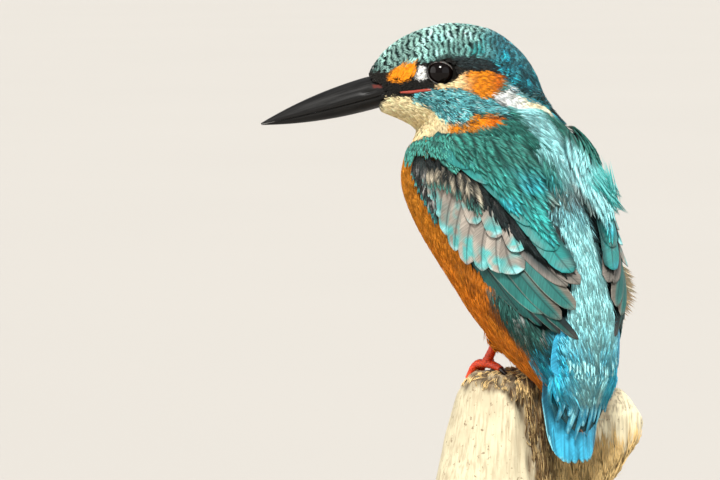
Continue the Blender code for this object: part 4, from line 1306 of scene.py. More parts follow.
def scale_rows(outline, step, length, width, low, high, lean, rng, point=0.0, edge=11.2):
    """Feathers in staggered rows that fill an outline. They turn by lean towards the wing's bend."""
    outline = np.asarray(outline, float)
    low_corner, high_corner = outline.min(axis=0) - length, outline.max(axis=0)
    tips = []
    for i, x in enumerate(np.arange(low_corner[0], high_corner[0] + step, step)):
        y = np.arange(low_corner[1], high_corner[1], step * 1.1) + (i % 2) * step * 0.55
        tips.append(np.stack((np.full(len(y), x), y), axis=1))
    tips = np.concatenate(tips)
    tips = tips + rng.normal(0, 0.12 * step, tips.shape)
    tips = tips[outline_depth(tips, outline) > -0.2]
    tips = tips[np.argsort(-tips[:, 0])]
    turn = lean * ease(14, 4, tips[:, 0]) - 0.12 + rng.normal(0, 0.09, len(tips))
    along = np.stack((np.cos(turn), np.sin(turn)), axis=1)
    roots = tips - along * length * rng.uniform(0.9, 1.1, (len(tips), 1))
    # Roots stay behind the neck's edge
    past = np.maximum(roots[:, 1] - edge - 0.87 * roots[:, 0], 0) / (0.87 * along[:, 0] - along[:, 1])
    roots = roots + along * np.minimum(past, 0.75 * length)[:, None]
    sink = 2.2 * ease(18, 27, tips[:, 1])  # the inner feathers close onto the back
    widths = width * rng.uniform(0.9, 1.1, len(tips))
    return FeatherRow(roots, tips, widths, low - sink, high - sink, point=point)


def wing_paints(c):
    """How each layer of the wing is coloured, as functions of place, share along and share across."""

    def shoulder(places, t, u):
        base = blend(c["mantle"] * 0.35, c["mantle"] * 1.1, ease(0.1, 0.6, t))
        base = blend(base, c["shoulder"], ease(0.45, 1.0, t) * (0.6 + 0.4 * patches(places, 3.0, 1)))
        return blend(base, c["vane_dark"], 0.55 * ease(0.2, 0.7, patches(places, 1.8, 2)))

    def edge(places, t, u):
        base = blend(c["black"], c["vane_dark"] * 1.5, ease(0.3, 0.9, np.abs(u)))
        white = ease(0.3, 0.6, patches(places, 1.4, 12))
        base = blend(base, c["white"] * 0.6, white * 0.7 * ease(0.2, 0.5, t))
        return blend(base, c["covert_tip"] * 0.8, ease(0.88, 0.97, t) * ease(0.6, 0.2, np.abs(u)))

    def median(places, t, u):
        pale = ease(0.2, 0.8, np.abs(u)) * ease(-0.6, 0.1, patches(places, 1.5, 29))
        base = blend(c["vane_dark"] * 0.6, c["covert"] * (1.7, 1.7, 1.5), pale)
        # Painted shade: the median coverts darken towards their roots, at the top of the row, under the
        # feathers above.
        base = blend(base, c["vane_dark"] * 0.6, 0.7 * ease(0.45, 0.1, t))
        return blend(base, c["shoulder"] * 0.9, 0.5 * ease(0.7, 0.98, t))

    def coverts(places, t, u):
        worn = ease(-0.4, 0.5, patches(places, 5, 3))
        base = blend(c["covert"] * 0.8, c["covert"] * 1.3, worn * ease(0.1, 0.8, np.abs(u)))
        base = blend(base, c["vane_dark"] * 1.3, 0.8 * ease(0.42, 0.1, t))
        tip = ease(0.45, 0.8, t + 0.3 * patches(places, 2.4, 4)) * ease(1.0, 0.8, u)
        tip = tip * ease(-0.5, 0.1, patches(places, 1.7, 24))
        base = blend(base, c["covert_tip"] * 0.9, tip * 0.9)
        base = blend(base, c["stripe"], 0.6 * ease(0.8, 0.95, t) * ease(0.0, 0.5, patches(places, 2, 14)))
        base = blend(base, c["vane_dark"] * 1.5, 0.55 * ease(0.55, 0.9, u) * ease(0.95, 0.7, t))
        return blend(base, c["white"] * 0.6, 0.35 * ease(0.95, 0.99, t + 0.04 * np.abs(u)))

    def scapulars(places, t, u):
        deep = blend(c["scapular"] * 0.25, c["scapular"] * 0.48, ease(0.1, 0.8, t))
        bluer = 0.5 * ease(110, 100, places[..., 2]) * ease(0.0, 0.7, patches(places, 7, 6))
        bright = blend(deep, c["stripe_deep"] * 0.8, bluer)
        bright = blend(bright, c["worn"], 0.35 * ease(0.3, 0.7, patches(places, 4, 8)) * ease(0.3, 0.7, t))
        return blend(bright, c["vane_dark"], 0.7 * ease(0.45, 0.9, u))

    def plumes(places, t, u):
        base = back_shades(places.reshape(-1, 3), c).reshape(places.shape)
        return blend(base, c["vane_dark"], 0.55 * ease(0.35, 0.05, t))

    def tertials(places, t, u):
        base = blend(c["vane_dark"], c["worn"] * 1.2, ease(0.2, 0.9, np.abs(u)) * 0.7)
        return blend(base, c["covert"], ease(0.7, 1.0, t) * 0.5)

    def secondaries(places, t, u):
        outer = ease(0.55, 0.2, u)
        base = blend(c["covert"] * (0.42, 0.44, 0.42), c["vane"] * 0.85, outer)
        base = blend(base, c["vane"] * 1.6, outer * ease(0.0, 0.7, patches(places, 7, 9)) * 0.7)
        base = blend(base, c["covert"], ease(0.9, 0.97, np.abs(u)) * 0.5)
        base = blend(base, c["vane_dark"], 0.8 * ease(0.6, 0.15, t))
        return blend(base, c["covert"], ease(0.93, 1.0, t) * 0.45)

    def primaries(places, t, u):
        outer = ease(0.1, -0.3, u)
        base = blend(c["vane_dark"] * 0.8, c["vane"] * 0.55, outer)
        base = blend(base, c["covert"] * 0.8, ease(-0.88, -0.96, u) * 0.8)
        return blend(base, c["worn"] * 0.55, ease(82, 77, places[..., 2]) * 0.85)

    return {
        "shoulder": shoulder, "edge": edge, "median": median, "coverts": coverts, "scapulars": scapulars,
        "plumes": plumes, "tertials": tertials, "secondaries": secondaries, "primaries": primaries,
    }


def make_wings(context):
    """Both folded wings, laid from the flight feathers up to the scapulars."""
    c = plumage(context)
    paints = wing_paints(c)
    form = body_form()
    loose = feather_material("loose wing feathers", 0.55, -0.6, 0.6, 0.5)
    vane = vane_material("flight feather vanes")
    for number, (label, side) in enumerate(SIDES):
        rng = np.random.default_rng(500 + number)
        sheet = Sheet(form.tree, WING_BEND, WING_AXES, (-8, 80), (-12, 42), mirrored=side < 0)
        wing = f"wing_{label}_"

        def vanes(name, rows, paint, *layers):
            nodes = [wing + layer for layer in layers]
            blade_piece(wing + name, sheet, rows, paint, vane, rng, nodes)

        def barbs(name, row, count, looseness, paint, *layers):
            nodes = [wing + layer for layer in layers]
            rows = [(row, count, looseness)]
            barbed_piece(wing + name, sheet, rows, paint, loose, rng, nodes)

        # Painted shade: a plain dark colour for feathers and sheets that stand for shade.
        def shaded(share):
            return lambda places, t, u: 0 * places + c["vane_dark"] * share

        primaries = FeatherRow(
            ((22, 1.5), (34, 5)), ((44, -2.2), (50, -2.0), (56, -1.6), (62.5, -0.2), (70, 3.6)),
            4.2, (0.15, 0.7), (0.5, 1.3), bend=-0.5, count=8, point=0.35, tilt=0.25,
        )
        vanes("primary_vanes", [primaries], paints["primaries"], "primaries")
        secondaries = FeatherRow(
            ((30, 4.5), (36, 12)), ((60, 2.2), (64, 4.2), (64.5, 8.6)),
            6.0, (1.0, 1.5), (1.3, 2.1), bend=-0.8, count=3, point=0.2, tilt=0.3,
        )
        vanes("secondary_vanes", [secondaries], paints["secondaries"], "secondaries")
        tertials = FeatherRow(
            ((31, 12), (36, 15)), ((59, 11.6), (60.5, 14.2)),
            5.0, (1.7, 1.9), (2.3, 2.6), bend=-0.4, count=2, tilt=0.2,
        )
        vanes("tertial_vanes", [tertials], paints["tertials"])
        # Painted shade: a dark sheet under the wing's feathers, which shows only in the gaps between them.
        under = FeatherRow(((2, 5), (8, 20)), ((46, 3), (50, 20)), 15.0, 0.0, 0.8, count=3)
        vanes("down", [under], shaded(0.7))
        coverts = FeatherRow(
            COVERT_ROOTS, COVERT_TIPS, 7.2, (2.0, 1.6), (2.3, 2.9), bend=-1.2, count=9, tilt=0.3,
        )
        coverts.tips = coverts.tips + rng.normal(0, 0.45, coverts.tips.shape)
        coverts.width = coverts.width * rng.uniform(0.85, 1.12, coverts.count)
        inner = FeatherRow(
            ((18, 13.5), (34, 14)), ((31, 6.5), (45, 9.5)), 5.6, (2.4, 2.2), (2.9, 3.0), count=3, tilt=0.3,
        )
        median = FeatherRow(
            ((9, 8), (13, 12), (20, 14)), ((14, 5), (19, 7), (30, 8.8)), 4.2, 2.7, 3.3, count=7, tilt=0.2,
        )
        edge = FeatherRow(
            ((2.5, 9), (8, 10)), ((4.5, 2.6), (11.5, 0.2), (19.5, -1.6)), 2.6, 2.0, 2.5, count=9,
        )
        vanes("covert_vanes", [coverts, inner], paints["coverts"], "coverts")
        barbs("median_feathers", median, 45, 0.6, paints["median"])
        # Painted shadow: a row of plain dark feathers where the scapulars' edge overhangs the coverts.
        gap = FeatherRow(
            ((6, 12), (22, 15.5), (36, 15)), ((12, 9), (28, 11.5), (45, 12.2), (57, 14.2)),
            6.5, 2.4, 2.8, count=9,
        )
        barbs("shadow_feathers", gap, 50, 0.4, shaded(0.6))
        barbs("edge_feathers", edge, 26, 0.7, paints["edge"])
        scales = scale_rows(SHOULDER_OUTLINE, 1.5, 4.6, 3.0, 2.9, 3.4, -0.75, rng, 0.5)
        barbs("shoulder_feathers", scales, 18, 0.5, paints["shoulder"], "shoulder")
        lowest = FeatherRow(
            ((4, 15), (14, 19), (26, 19.5), (38, 18.5)), ((20, 17.4), (32, 17.8), (45, 17), (57.5, 15)),
            6.6, 2.9, 3.9, bend=-0.6, count=6, point=0.2, tilt=0.3,
        )
        vanes("scapular_vanes", [lowest], paints["scapulars"], "scapulars")
        # On the right wing the plumes may begin closer to the neck
        nearest = 11.2 if side > 0 else 14.5
        plumes = scale_rows(SCAPULAR_OUTLINE, 2.8, 14.0, 5.0, 3.1, 4.1, -0.2, rng, 0.4, nearest)
        barbs("plumes", plumes, 64, 0.5, paints["plumes"])


STREAKED = (1, 1, 0.12)  # draws a tail feather's noise out along it


def make_tail(context):
    """The closed tail of twelve feathers, and the pointed coverts over its root."""
    c = plumage(context)
    rng = np.random.default_rng(71)
    axes = np.array(((1.0, 0, 0), (0, 0, -1.0), (0, 1.0, 0)))
    low, high = node_box("tail")
    top = high[2]
    origin = (0.0, 0.0, top)
    sheet = Sheet(node_tree(["tail"]), origin, axes, (-14, 15), (-4, 40))
    length = high[2] - low[2]
    rank = np.arange(6)
    root_x = 1.3 + 1.3 * rank
    tip_x = 1.3 + 4.6 * (1 - np.exp(-0.5 * rank))
    tip_y = length * (1 - 0.006 * rank**2)
    roots = np.array([(s * x, 0.5) for x in root_x for s in (1, -1)])
    tips = np.array([(s * x, y) for x, y in zip(tip_x, tip_y) for s in (1, -1)])
    level = np.repeat(-0.12 - 0.13 * rank, 2)
    row = FeatherRow(roots[::-1], tips[::-1], 4.7, 0, 0)
    row.low = row.high = level[::-1] + np.tile((0.05, -0.02), 6)
    row.tilt = np.tile((0.22, -0.22), 6)

    def paint(places, t, u):
        base = blend(c["tail"], c["vane_dark"], 0.75 * ease(0.75, 0.1, t))
        base = base * (0.9 + 0.38 * patches(places * STREAKED, 0.7, 44))[..., None]
        line = ease(0.4, 0.8, np.abs(u)) * ease(0.97, 0.85, np.abs(u)) * ease(0.98, 0.9, t)
        base = base * (1 - 0.65 * line)[..., None]
        edge = ease(0.86, 0.97, np.maximum(np.abs(u), (t - 0.9) * 10)) * ease(0.2, 0.6, t)
        return blend(base, c["stripe"], 0.6 * edge)

    blade_piece("tail_vanes", sheet, [row], paint, vane_material("tail feather vanes", 0.4), rng,
                ["tail"], shaft_shade=0.8)
    over = Sheet(node_tree(["tail", "back_feathers"]), origin, axes, (-16, 17), (-16, 36))
    aside = np.array((6.8, 9.2))
    sides = np.concatenate((aside, -aside))
    starts = np.stack((sides * 0.9, np.full(4, -14.0)), axis=1)
    ends = np.stack((sides, np.array((2.3, -0.2, 2.3, -0.2))), axis=1)
    round_ends = FeatherRow(starts, ends, 5.2, -0.9, 1.0, tilt=np.array((-0.2, -0.2, 0.2, 0.2)))

    def paint_side(places, t, u):
        return c["tail"] * (0.5 + 0.35 * t + 0.3 * patches(places * STREAKED, 0.8, 46))[..., None]

    blade_piece("tail_side_coverts", over, [round_ends], paint_side,
                vane_material("tail covert vanes", 0.4), rng)
    tips = np.array((
        (-8.6, 5.5), (-7.2, 10.5), (-5.2, 9.5), (-4.2, 14.8), (-2, 12.6), (-0.9, 16.6),
        (1.4, 13.4), (2.4, 17.2), (4.6, 15.4), (5.6, 10.5), (7.8, 12.2), (9, 6.5),
    ))
    wide = np.array((3.4, 2.8, 3.8, 2.6, 3.6, 2.6, 3.8, 2.4, 3.4, 3.0, 2.6, 3.2))
    long_ones = FeatherRow(tips * (0.8, 0) + (0, -8), tips, wide, -0.4, 1.2, point=0.75)

    def paint_long(places, t, u):
        streak = patches(places * (1, 1, 0.1), 0.6, 47)
        pale = ease(0.9, 0.3, np.abs(u)) * ease(0.3, 0.8, t) * ease(-0.5, 0.5, streak)
        deep = c["tail"] * (0.6 + 0.25 * streak)[..., None]
        return blend(deep, c["stripe"], pale * 0.6)

    blade_piece("tail_long_coverts", over, [long_ones], paint_long,
                vane_material("long covert vanes", 0.4), rng)
    rows = []
    for start, reach, half, lift in ((-9, 11, 7.5, 1.0), (-12, 9, 8.5, 1.3), (-15, 10, 9, 1.6)):
        x = np.linspace(-half, half, 8) + rng.normal(0, 0.35, 8)
        drop = reach * (1 - 0.28 * (x / half) ** 2) * rng.uniform(0.9, 1.08, 8)
        base = np.stack((x * 0.8, start + 0 * x), axis=1)
        ends = np.stack((x * 0.86, start + 5 + drop), axis=1)
        tilt = 0.2 * (-1) ** len(rows)
        rows.append((FeatherRow(base, ends, 4.0, -0.9, lift, point=0.35, tilt=tilt), 60, 0.3))

    def paint_over(places, t, u):
        bright = blend(c["stripe_deep"] * 0.6, c["stripe"], ease(0.35, 0.95, t))
        return blend(bright, c["tail"] * 0.7, 0.6 * ease(0.0, 0.6, patches(places, 3, 4)))

    silky = feather_material("silky tail coverts", 0.45, -0.4, 0.6, 0.45)
    barbed_piece("tail_coverts", over, rows, paint_over, silky, rng)


# ---------------------------------------------------------------- bill

BILL_LENGTH, BILL_DEPTH, BILL_WIDTH = 32.0, 8.4, 9.4
BILL_DROP = math.radians(15.9)
BILL_FACE = np.array((20.3, 0.0, -5.1))  # middle of the bill where the feathers end, in the head's frame
BILL_ROOT = 0.34  # share of its length inside the face


def ring_mesh(name, rings, material, maps=(), colours=None):
    """A closed object through rings of equal length, each an array of places in millimetres."""
    rings = np.asarray(rings)
    rows, count = rings.shape[:2]
    places = np.concatenate((rings.reshape(-1, 3), rings[0].mean(axis=0)[None], rings[-1].mean(axis=0)[None]))
    grid = np.arange(rows * count).reshape(rows, count)
    onward = np.roll(grid, -1, axis=1)
    a, b, c, d = (g.ravel() for g in (grid[:-1], onward[:-1], onward[1:], grid[1:]))
    faces = [np.stack((a, b, c), axis=1), np.stack((a, c, d), axis=1)]
    faces.append(np.stack((onward[0], grid[0], np.full(count, rows * count)), axis=1))
    faces.append(np.stack((grid[-1], onward[-1], np.full(count, rows * count + 1)), axis=1))
    obj = array_object(name, places, np.concatenate(faces), material, colours, maps)
    face_outwards(obj)
    return obj


def bill_rings(part, rows=64, count=72, reach=0.985):
    """The sections of one half of the bill, from inside the face to its tip."""
    along = np.linspace(-BILL_ROOT, 1, rows)
    along = np.where(along > 0, 1 - (1 - np.clip(along, 0, 1)) ** 1.25, along) * reach
    shown, hidden = np.clip(along, 0, 1), np.clip(-along, 0, 1)
    half_depth = (BILL_DEPTH / 2 * (1 - shown**2.1) + 0.12)[:, None]
    half_width = (BILL_WIDTH / 2 * (1 - shown) ** 0.85 * (1 + 1.5 * hidden) + 0.1)[:, None]
    angle = np.linspace(0, 2 * math.pi, count, endpoint=False)[None]
    cos, sin = np.cos(angle), np.sin(angle)
    y = np.sign(cos) * np.abs(cos) ** (2 / 1.8) * half_width
    z = np.sign(sin) * np.abs(sin) ** (2 / 1.8) * half_depth
    x = (along * BILL_LENGTH)[:, None] + 0 * y
    mouth = -0.28 * half_depth
    if part == "upper":
        z = np.maximum(z, mouth + 0.05)
        ridge = np.exp(-((y / 0.7) ** 2)) * (sin > 0.5)
        z = z + 0.16 * ridge * (1 - shown[:, None]) * ease(-2, 2, x)
        groove = np.exp(-(((z - 0.28 * half_depth) / 0.45) ** 2)) * ease(0, 1, x) * ease(22, 4, x)
        y = y - np.sign(y) * 0.22 * groove * (np.abs(y) > half_width * 0.4)
        nostril = np.exp(-(((x - 1.1 - 0.25 * z) / 1.5) ** 2) - (((z - 0.1 * half_depth - 0.1) / 0.28) ** 2))
        y = y - np.sign(y) * 0.75 * nostril * (np.abs(y) > half_width * 0.4)
    else:
        z = np.minimum(z, mouth - 0.05)
        y = np.where(z > mouth - 0.3, y * 0.93, y)
        keel = np.exp(-((y / 0.8) ** 2)) * (sin < -0.5)
        z = z - 0.12 * keel * (1 - shown[:, None])
    cos_drop, sin_drop = math.cos(BILL_DROP), math.sin(BILL_DROP)
    local = np.stack((cos_drop * x + sin_drop * z, y, -sin_drop * x + cos_drop * z), axis=-1) + BILL_FACE
    return from_head(local), along, np.broadcast_to(angle, y.shape)


def horn_material(name, colour, roughness):
    """Black horn of a bill: keratin with fine lengthwise growth lines and a dull, waxy shine."""
    settings = {"Roughness": roughness, "Specular IOR Level": 0.25, "IOR": 1.5}
    material, tree, shader = new_material(name, settings)
    own = add_node(tree, "Attribute", OWN_COLOUR, "Color")
    grain = add_node(tree, "UVMap", {"uv_map": "Grain"})
    stretched = add_node(tree, "Mapping", {"Scale": (0.10, 1.6, 1), "Vector": grain})
    lines = add_node(tree, "TexNoise", {"Scale": 1.0, "Detail": 4.0, "Roughness": 0.65, "Vector": stretched})
    worn = add_node(tree, "MapRange", {"Value": lines, "From Min": 0.48, "From Max": 0.75, "To Max": 0.6})
    dull = {"From Min": 0.35, "From Max": 0.7, "To Min": roughness - 0.1, "To Max": roughness + 0.2}
    feed(shader, {
        "Base Color": add_node(tree, "Mix", {**BLEND, 0: worn, 6: own, 7: paint_shade(colour, 2.2, 0.01)}, 2),
        "Roughness": add_node(tree, "MapRange", {"Value": lines, **dull}),
        "Normal": add_node(tree, "Bump", {"Strength": 0.35, "Distance": 0.1 * MM, "Height": lines}),
    })
    return material


def make_bill(context):
    """Both halves of the bill, with its ridge, grooves and nostrils, and the red skin at the gape."""
    settings = context.scene.kingfisher_bare_parts
    horn = np.array(settings.bill)
    red = np.array(settings.gape)
    material = horn_material("black bill horn", settings.bill, 0.4)
    for part in ("upper", "lower"):
        rings, along, angle = bill_rings(part)
        rows, count = rings.shape[:2]
        grain = np.stack((np.broadcast_to(along[:, None] * BILL_LENGTH, angle.shape), angle * 3.6), axis=-1)
        grain = np.concatenate((grain.reshape(-1, 2), np.zeros((2, 2))))
        tint = np.repeat(horn[None], rows * count, axis=0)
        if part == "upper":
            # Red shows through the nostril's slit
            forward, _, height = to_head(rings.reshape(-1, 3)).T
            beyond = forward - 18.9
            tint[(np.abs(beyond) < 1.7) & (np.abs(height + 3.3 + 0.1 * beyond) < 0.45)] = red * 0.3
        rgba = np.concatenate((tint, np.ones((len(tint), 1))), axis=1)
        rgba = np.concatenate((rgba, rgba[:2]))
        piece = ring_mesh(f"bill_{part}_horn", rings, material, (("Grain", grain),), rgba)
        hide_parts(f"bill_{part}")
        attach(piece, "root")
    # The soft skin at the corners of the mouth is moist, and light sinks a little way into it
    moist = {"Base Color": (*red, 1), "Roughness": 0.35, "Subsurface Weight": 0.2, "Subsurface Scale": 1 * MM}
    skin = new_material("soft gape skin", moist)[0]
    form = body_form()
    mouth_line = ((13.0, 0, -4.7), (10, 0, -4.5), (7, 0, -4.1), (4.4, 0, -3.8))
    for label, side in SIDES:
        path = along_path(mouth_line, np.linspace(0, 1, 14))
        starts = from_head(path * (1, 0, 1) + (0, side * 20, 0))
        spots, normals, _ = form.hits(starts, np.repeat((HEAD_LEFT * -side)[None], len(path), axis=0), 25)
        radii = np.interp(np.arange(14), (0, 4, 11, 13), (0.25, 0.42, 0.4, 0.08))
        piece = tube_object(f"gape_{label}", spots + normals * 0.3, radii, skin, 12)
        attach(piece, "root")


def tube_rings(path, radii, count=16, flatten=1.0):
    """Rings round a path, each turned square to it."""
    path = np.asarray(path, float)
    heading = unit(np.gradient(path, axis=0))
    across = np.array((1.0, 0, 0)) - heading * heading[:, :1]
    weak = np.linalg.norm(across, axis=1) < 0.2
    across[weak] = np.array((0, 1.0, 0)) - heading[weak] * heading[weak, 1:2]
    across = unit(across)
    up = np.cross(heading, across)
    angle = np.linspace(0, 2 * math.pi, count, endpoint=False)
    cos, sin = np.cos(angle)[None, :, None], np.sin(angle)[None, :, None]
    ring = cos * across[:, None] + sin * up[:, None] * flatten
    return path[:, None] + ring * np.asarray(radii)[:, None, None]


def tube_object(name, path, radii, material, count=16, flatten=1.0):
    return ring_mesh(name, tube_rings(path, radii, count, flatten), material)


# ---------------------------------------------------------------- eyes


def make_eyes(context):
    """Dark glossy eyes, and the lids that hold them."""
    settings = context.scene.kingfisher_bare_parts
    # The front of an eye is a wet cornea: black-brown and mirror smooth, with a film of tears
    eye = {"Base Color": (*settings.iris, 1), "Roughness": 0.03, "IOR": 1.376, "Specular IOR Level": 0.3}
    cornea = new_material("wet dark eye", eye)[0]
    # The lids are bare skin, dark and dull, that lets a little light in
    lid_look = {"Roughness": 0.5, "Subsurface Weight": 0.1, "Subsurface Scale": 1 * MM}
    skin, tree, shader = new_material("eyelid skin", lid_look)
    place = add_node(tree, "TexCoord", {}, "Object")
    folds = add_node(tree, "TexNoise", {"Scale": 1 / (0.5 * MM), "Detail": 3.0, "Vector": place})
    shade = add_node(tree, "MapRange", {"Value": folds, "From Min": 0.3, "From Max": 0.7})
    dark, light = paint_shade(settings.lid, 0.35), paint_shade(settings.lid, 2.6, 0.03)
    feed(shader, {"Base Color": add_node(tree, "Mix", {**BLEND, 0: shade, 6: dark, 7: light}, 2)})
    for label, side in SIDES:
        middle = node_middle("eye_" + label)
        deselect_all()
        size = {"radius": EYE_RADIUS * MM, "location": middle * MM}
        bpy.ops.mesh.primitive_uv_sphere_add(segments=64, ring_count=40, **size)
        ball = bpy.context.object
        bpy.ops.object.transform_apply(location=True)
        ball.name = f"eyeball_{label}"
        ball.data.shade_smooth()
        ball.data.materials.append(cornea)
        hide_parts("eye_" + label)
        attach(ball, "root")
        # The lid's rim lies on the ball, swells to a soft edge, and dives under the feathers
        turns = np.linspace(0, 2 * math.pi, 96, endpoint=False)
        profile = ((3.48, 2.86, 0.02), (3.56, 2.93, 0.16), (3.72, 3.06, 0.24), (3.92, 3.24, 0.16),
                   (4.2, 3.5, -0.1), (4.5, 3.85, -0.6), (4.4, 3.7, -1.5), (3.6, 3.0, -1.2))
        rings = []
        for wide, tall, proud in profile:
            dx, dz = wide * np.cos(turns), tall * np.sin(turns)
            dz = dz + 0.12 * dx * (np.abs(dx) > 0) - 0.1
            flat = np.minimum(np.hypot(dx, dz), EYE_RADIUS * 0.985)
            bulge = np.sqrt(EYE_RADIUS**2 - flat**2)
            ripple = 0.03 * np.sin(turns * 23) * (proud > 0)
            y = side * (EYE_SPREAD + bulge + proud + ripple)
            local = np.stack((dx + EYE_PLACE[0], y, dz + EYE_PLACE[2]), axis=1)
            rings.append(from_head(local))
        rings.append(rings[0])
        rings = np.asarray(rings)
        grid = np.arange((len(rings) - 1) * 96).reshape(-1, 96)
        onward, nxt = np.roll(grid, -1, axis=1), np.roll(grid, -1, axis=0)
        both = np.roll(nxt, -1, axis=1)
        a, b, c, d = grid.ravel(), onward.ravel(), both.ravel(), nxt.ravel()
        faces = np.concatenate((np.stack((a, b, c), axis=1), np.stack((a, c, d), axis=1)))
        lid = array_object(f"eyelid_{label}", rings[:-1].reshape(-1, 3), faces, skin)
        face_outwards(lid)
        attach(lid, "root")


# ---------------------------------------------------------------- legs

FOOT_X = 8.0
TOES = ((2.0, 6.0, 1.10, 12.0), (0.2, 7.2, 1.20, 11.0), (-1.8, 6.0, 1.05, 12.0), (0.3, -6.4, 1.15, 1.5))
CLAW_LENGTH = 3.2
# Centre lines of the shank and the ankle: towards the back, and up from the branch
SHANK = ((-4.2, 8.6), (-5.4, 6.6), (-7.1, 4.2), (-7.6, 3.1))
ANKLE = ((-7.4, 3.6), (-7.7, 2.6), (-8.1, 1.9))


def toe_places(side, toe, shares):
    """A toe's centre line, which runs level and then bends down over the edge of the wood."""
    shift, reach, _, droop = toe
    bend = np.clip(shares - 0.5, 0, None)
    x = side * (FOOT_X + shift * shares**0.8)
    return np.stack((x, -7.8 - reach * shares, FEET_Z + 2.3 - 0.5 * shares - droop * bend**1.6), axis=1)


def scutes(shares, length, radius, spacing=0.95, depth=0.07):
    """Radii of a limb ringed by scutes, horny plates a spacing apart."""
    return radius * (1 - depth + depth * np.abs(np.sin(math.pi * shares * length / spacing)) ** 0.5)


def make_legs(context):
    """Each leg's scaly shank and foot, and its claws."""
    settings = context.scene.kingfisher_bare_parts
    # Soft waxy skin over small plates lets a little light in, which warms the shadows between them
    waxy = {"Roughness": 0.36, "Subsurface Weight": 0.25, "Subsurface Scale": 1.2 * MM, "Coat Weight": 0.05}
    skin, tree, shader = new_material("red scaly foot skin", waxy)
    place = add_node(tree, "TexCoord", {}, "Object")
    plate_size = {"feature": "DISTANCE_TO_EDGE", "Scale": 1 / (0.55 * MM)}
    cells = add_node(tree, "TexVoronoi", {**plate_size, "Vector": place})
    blotch = add_node(tree, "TexNoise", {"Scale": 1 / (1.6 * MM), "Detail": 3.0, "Vector": place})
    plates = add_node(tree, "MapRange", {"Value": cells, "From Max": 0.12})
    patchy = add_node(tree, "MapRange", {"Value": blotch, "From Min": 0.35, "From Max": 0.7})
    red = tuple(settings.foot)
    bright = (min(1, red[0] * 1.25), red[1] * 1.9, red[2] * 1.2, 1)
    tone = add_node(tree, "Mix", {**BLEND, 0: patchy, 6: (*red, 1), 7: bright}, 2)
    feed(shader, {
        "Base Color": add_node(tree, "Mix", {**BLEND, 0: plates, 6: paint_shade(red, 0.35), 7: tone}, 2),
        "Normal": add_node(tree, "Bump", {"Strength": 0.5, "Distance": 0.1 * MM, "Height": plates}),
    })
    # Claws are dense dark horn, worn smooth and dully shining
    claw_skin = new_material("dark claw horn", {"Base Color": (*settings.claw, 1), "Roughness": 0.3})[0]
    for label, side in SIDES:
        share = np.linspace(0, 1, 40)
        shank = along_path([(side * FOOT_X, y, FEET_Z + z) for y, z in SHANK], share)
        radii = scutes(share, 6.5, np.interp(share, (0, 0.4, 0.8, 1), (1.5, 1.2, 1.35, 1.55)))
        meshes = [tube_object("shank", shank, radii, skin, 24)]
        ankle = along_path([(side * FOOT_X, y, FEET_Z + z) for y, z in ANKLE], share[::4])
        meshes.append(tube_object("ankle", ankle, np.full(10, 1.6), skin, 24))
        for toe in TOES:
            line = toe_places(side, toe, share)
            radii = toe[2] * (1 - 0.2 * share) * (1 + 0.1 * np.sin(share * math.pi * 3.4) ** 2)
            meshes.append(tube_object("toe", line, scutes(share, 8, radii), skin, 24))
        deselect_all()
        for obj in meshes:
            obj.select_set(True)
        bpy.context.view_layer.objects.active = meshes[0]
        bpy.ops.object.join()
        foot = bpy.context.object
        melt(foot, 0.15, 2)
        foot.name = f"foot_{label}_skin"
        foot.data.shade_smooth()
        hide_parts(f"leg_{label}_tarsus", f"leg_{label}_foot")
        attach(foot, "root")
        for number, toe in enumerate(TOES, 1):
            end, before = toe_places(side, toe, np.array((0.97, 0.85)))
            forward = unit(end - before)
            along = np.linspace(-0.4, CLAW_LENGTH, 22)
            path = end + forward * along[:, None]
            path[:, 2] -= 0.09 * np.clip(along, 0, 9) ** 2
            radii = 0.8 * np.clip(1 - (along + 0.4) / (CLAW_LENGTH + 0.55), 0.03, 1) ** 0.7
            claw = tube_object(f"claw_{label}_{number}", path, radii, claw_skin, 20)
            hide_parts(f"leg_{label}_claw_{number}")
            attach(claw, "root")


# ---------------------------------------------------------------- perch, stand and stage


def across_limb(x, y):
    """How far places lie across the limb, from its bleached side to its knob."""
    return -0.819 * x + 0.574 * (y + 8)


def torn_line(z):
    """Where the bleached face ends and the torn grain begins, across the limb, at a height."""
    return np.interp(z, (36, 44, 57, 63, 66), (5.6, 4.4, 1.2, -3, -7))


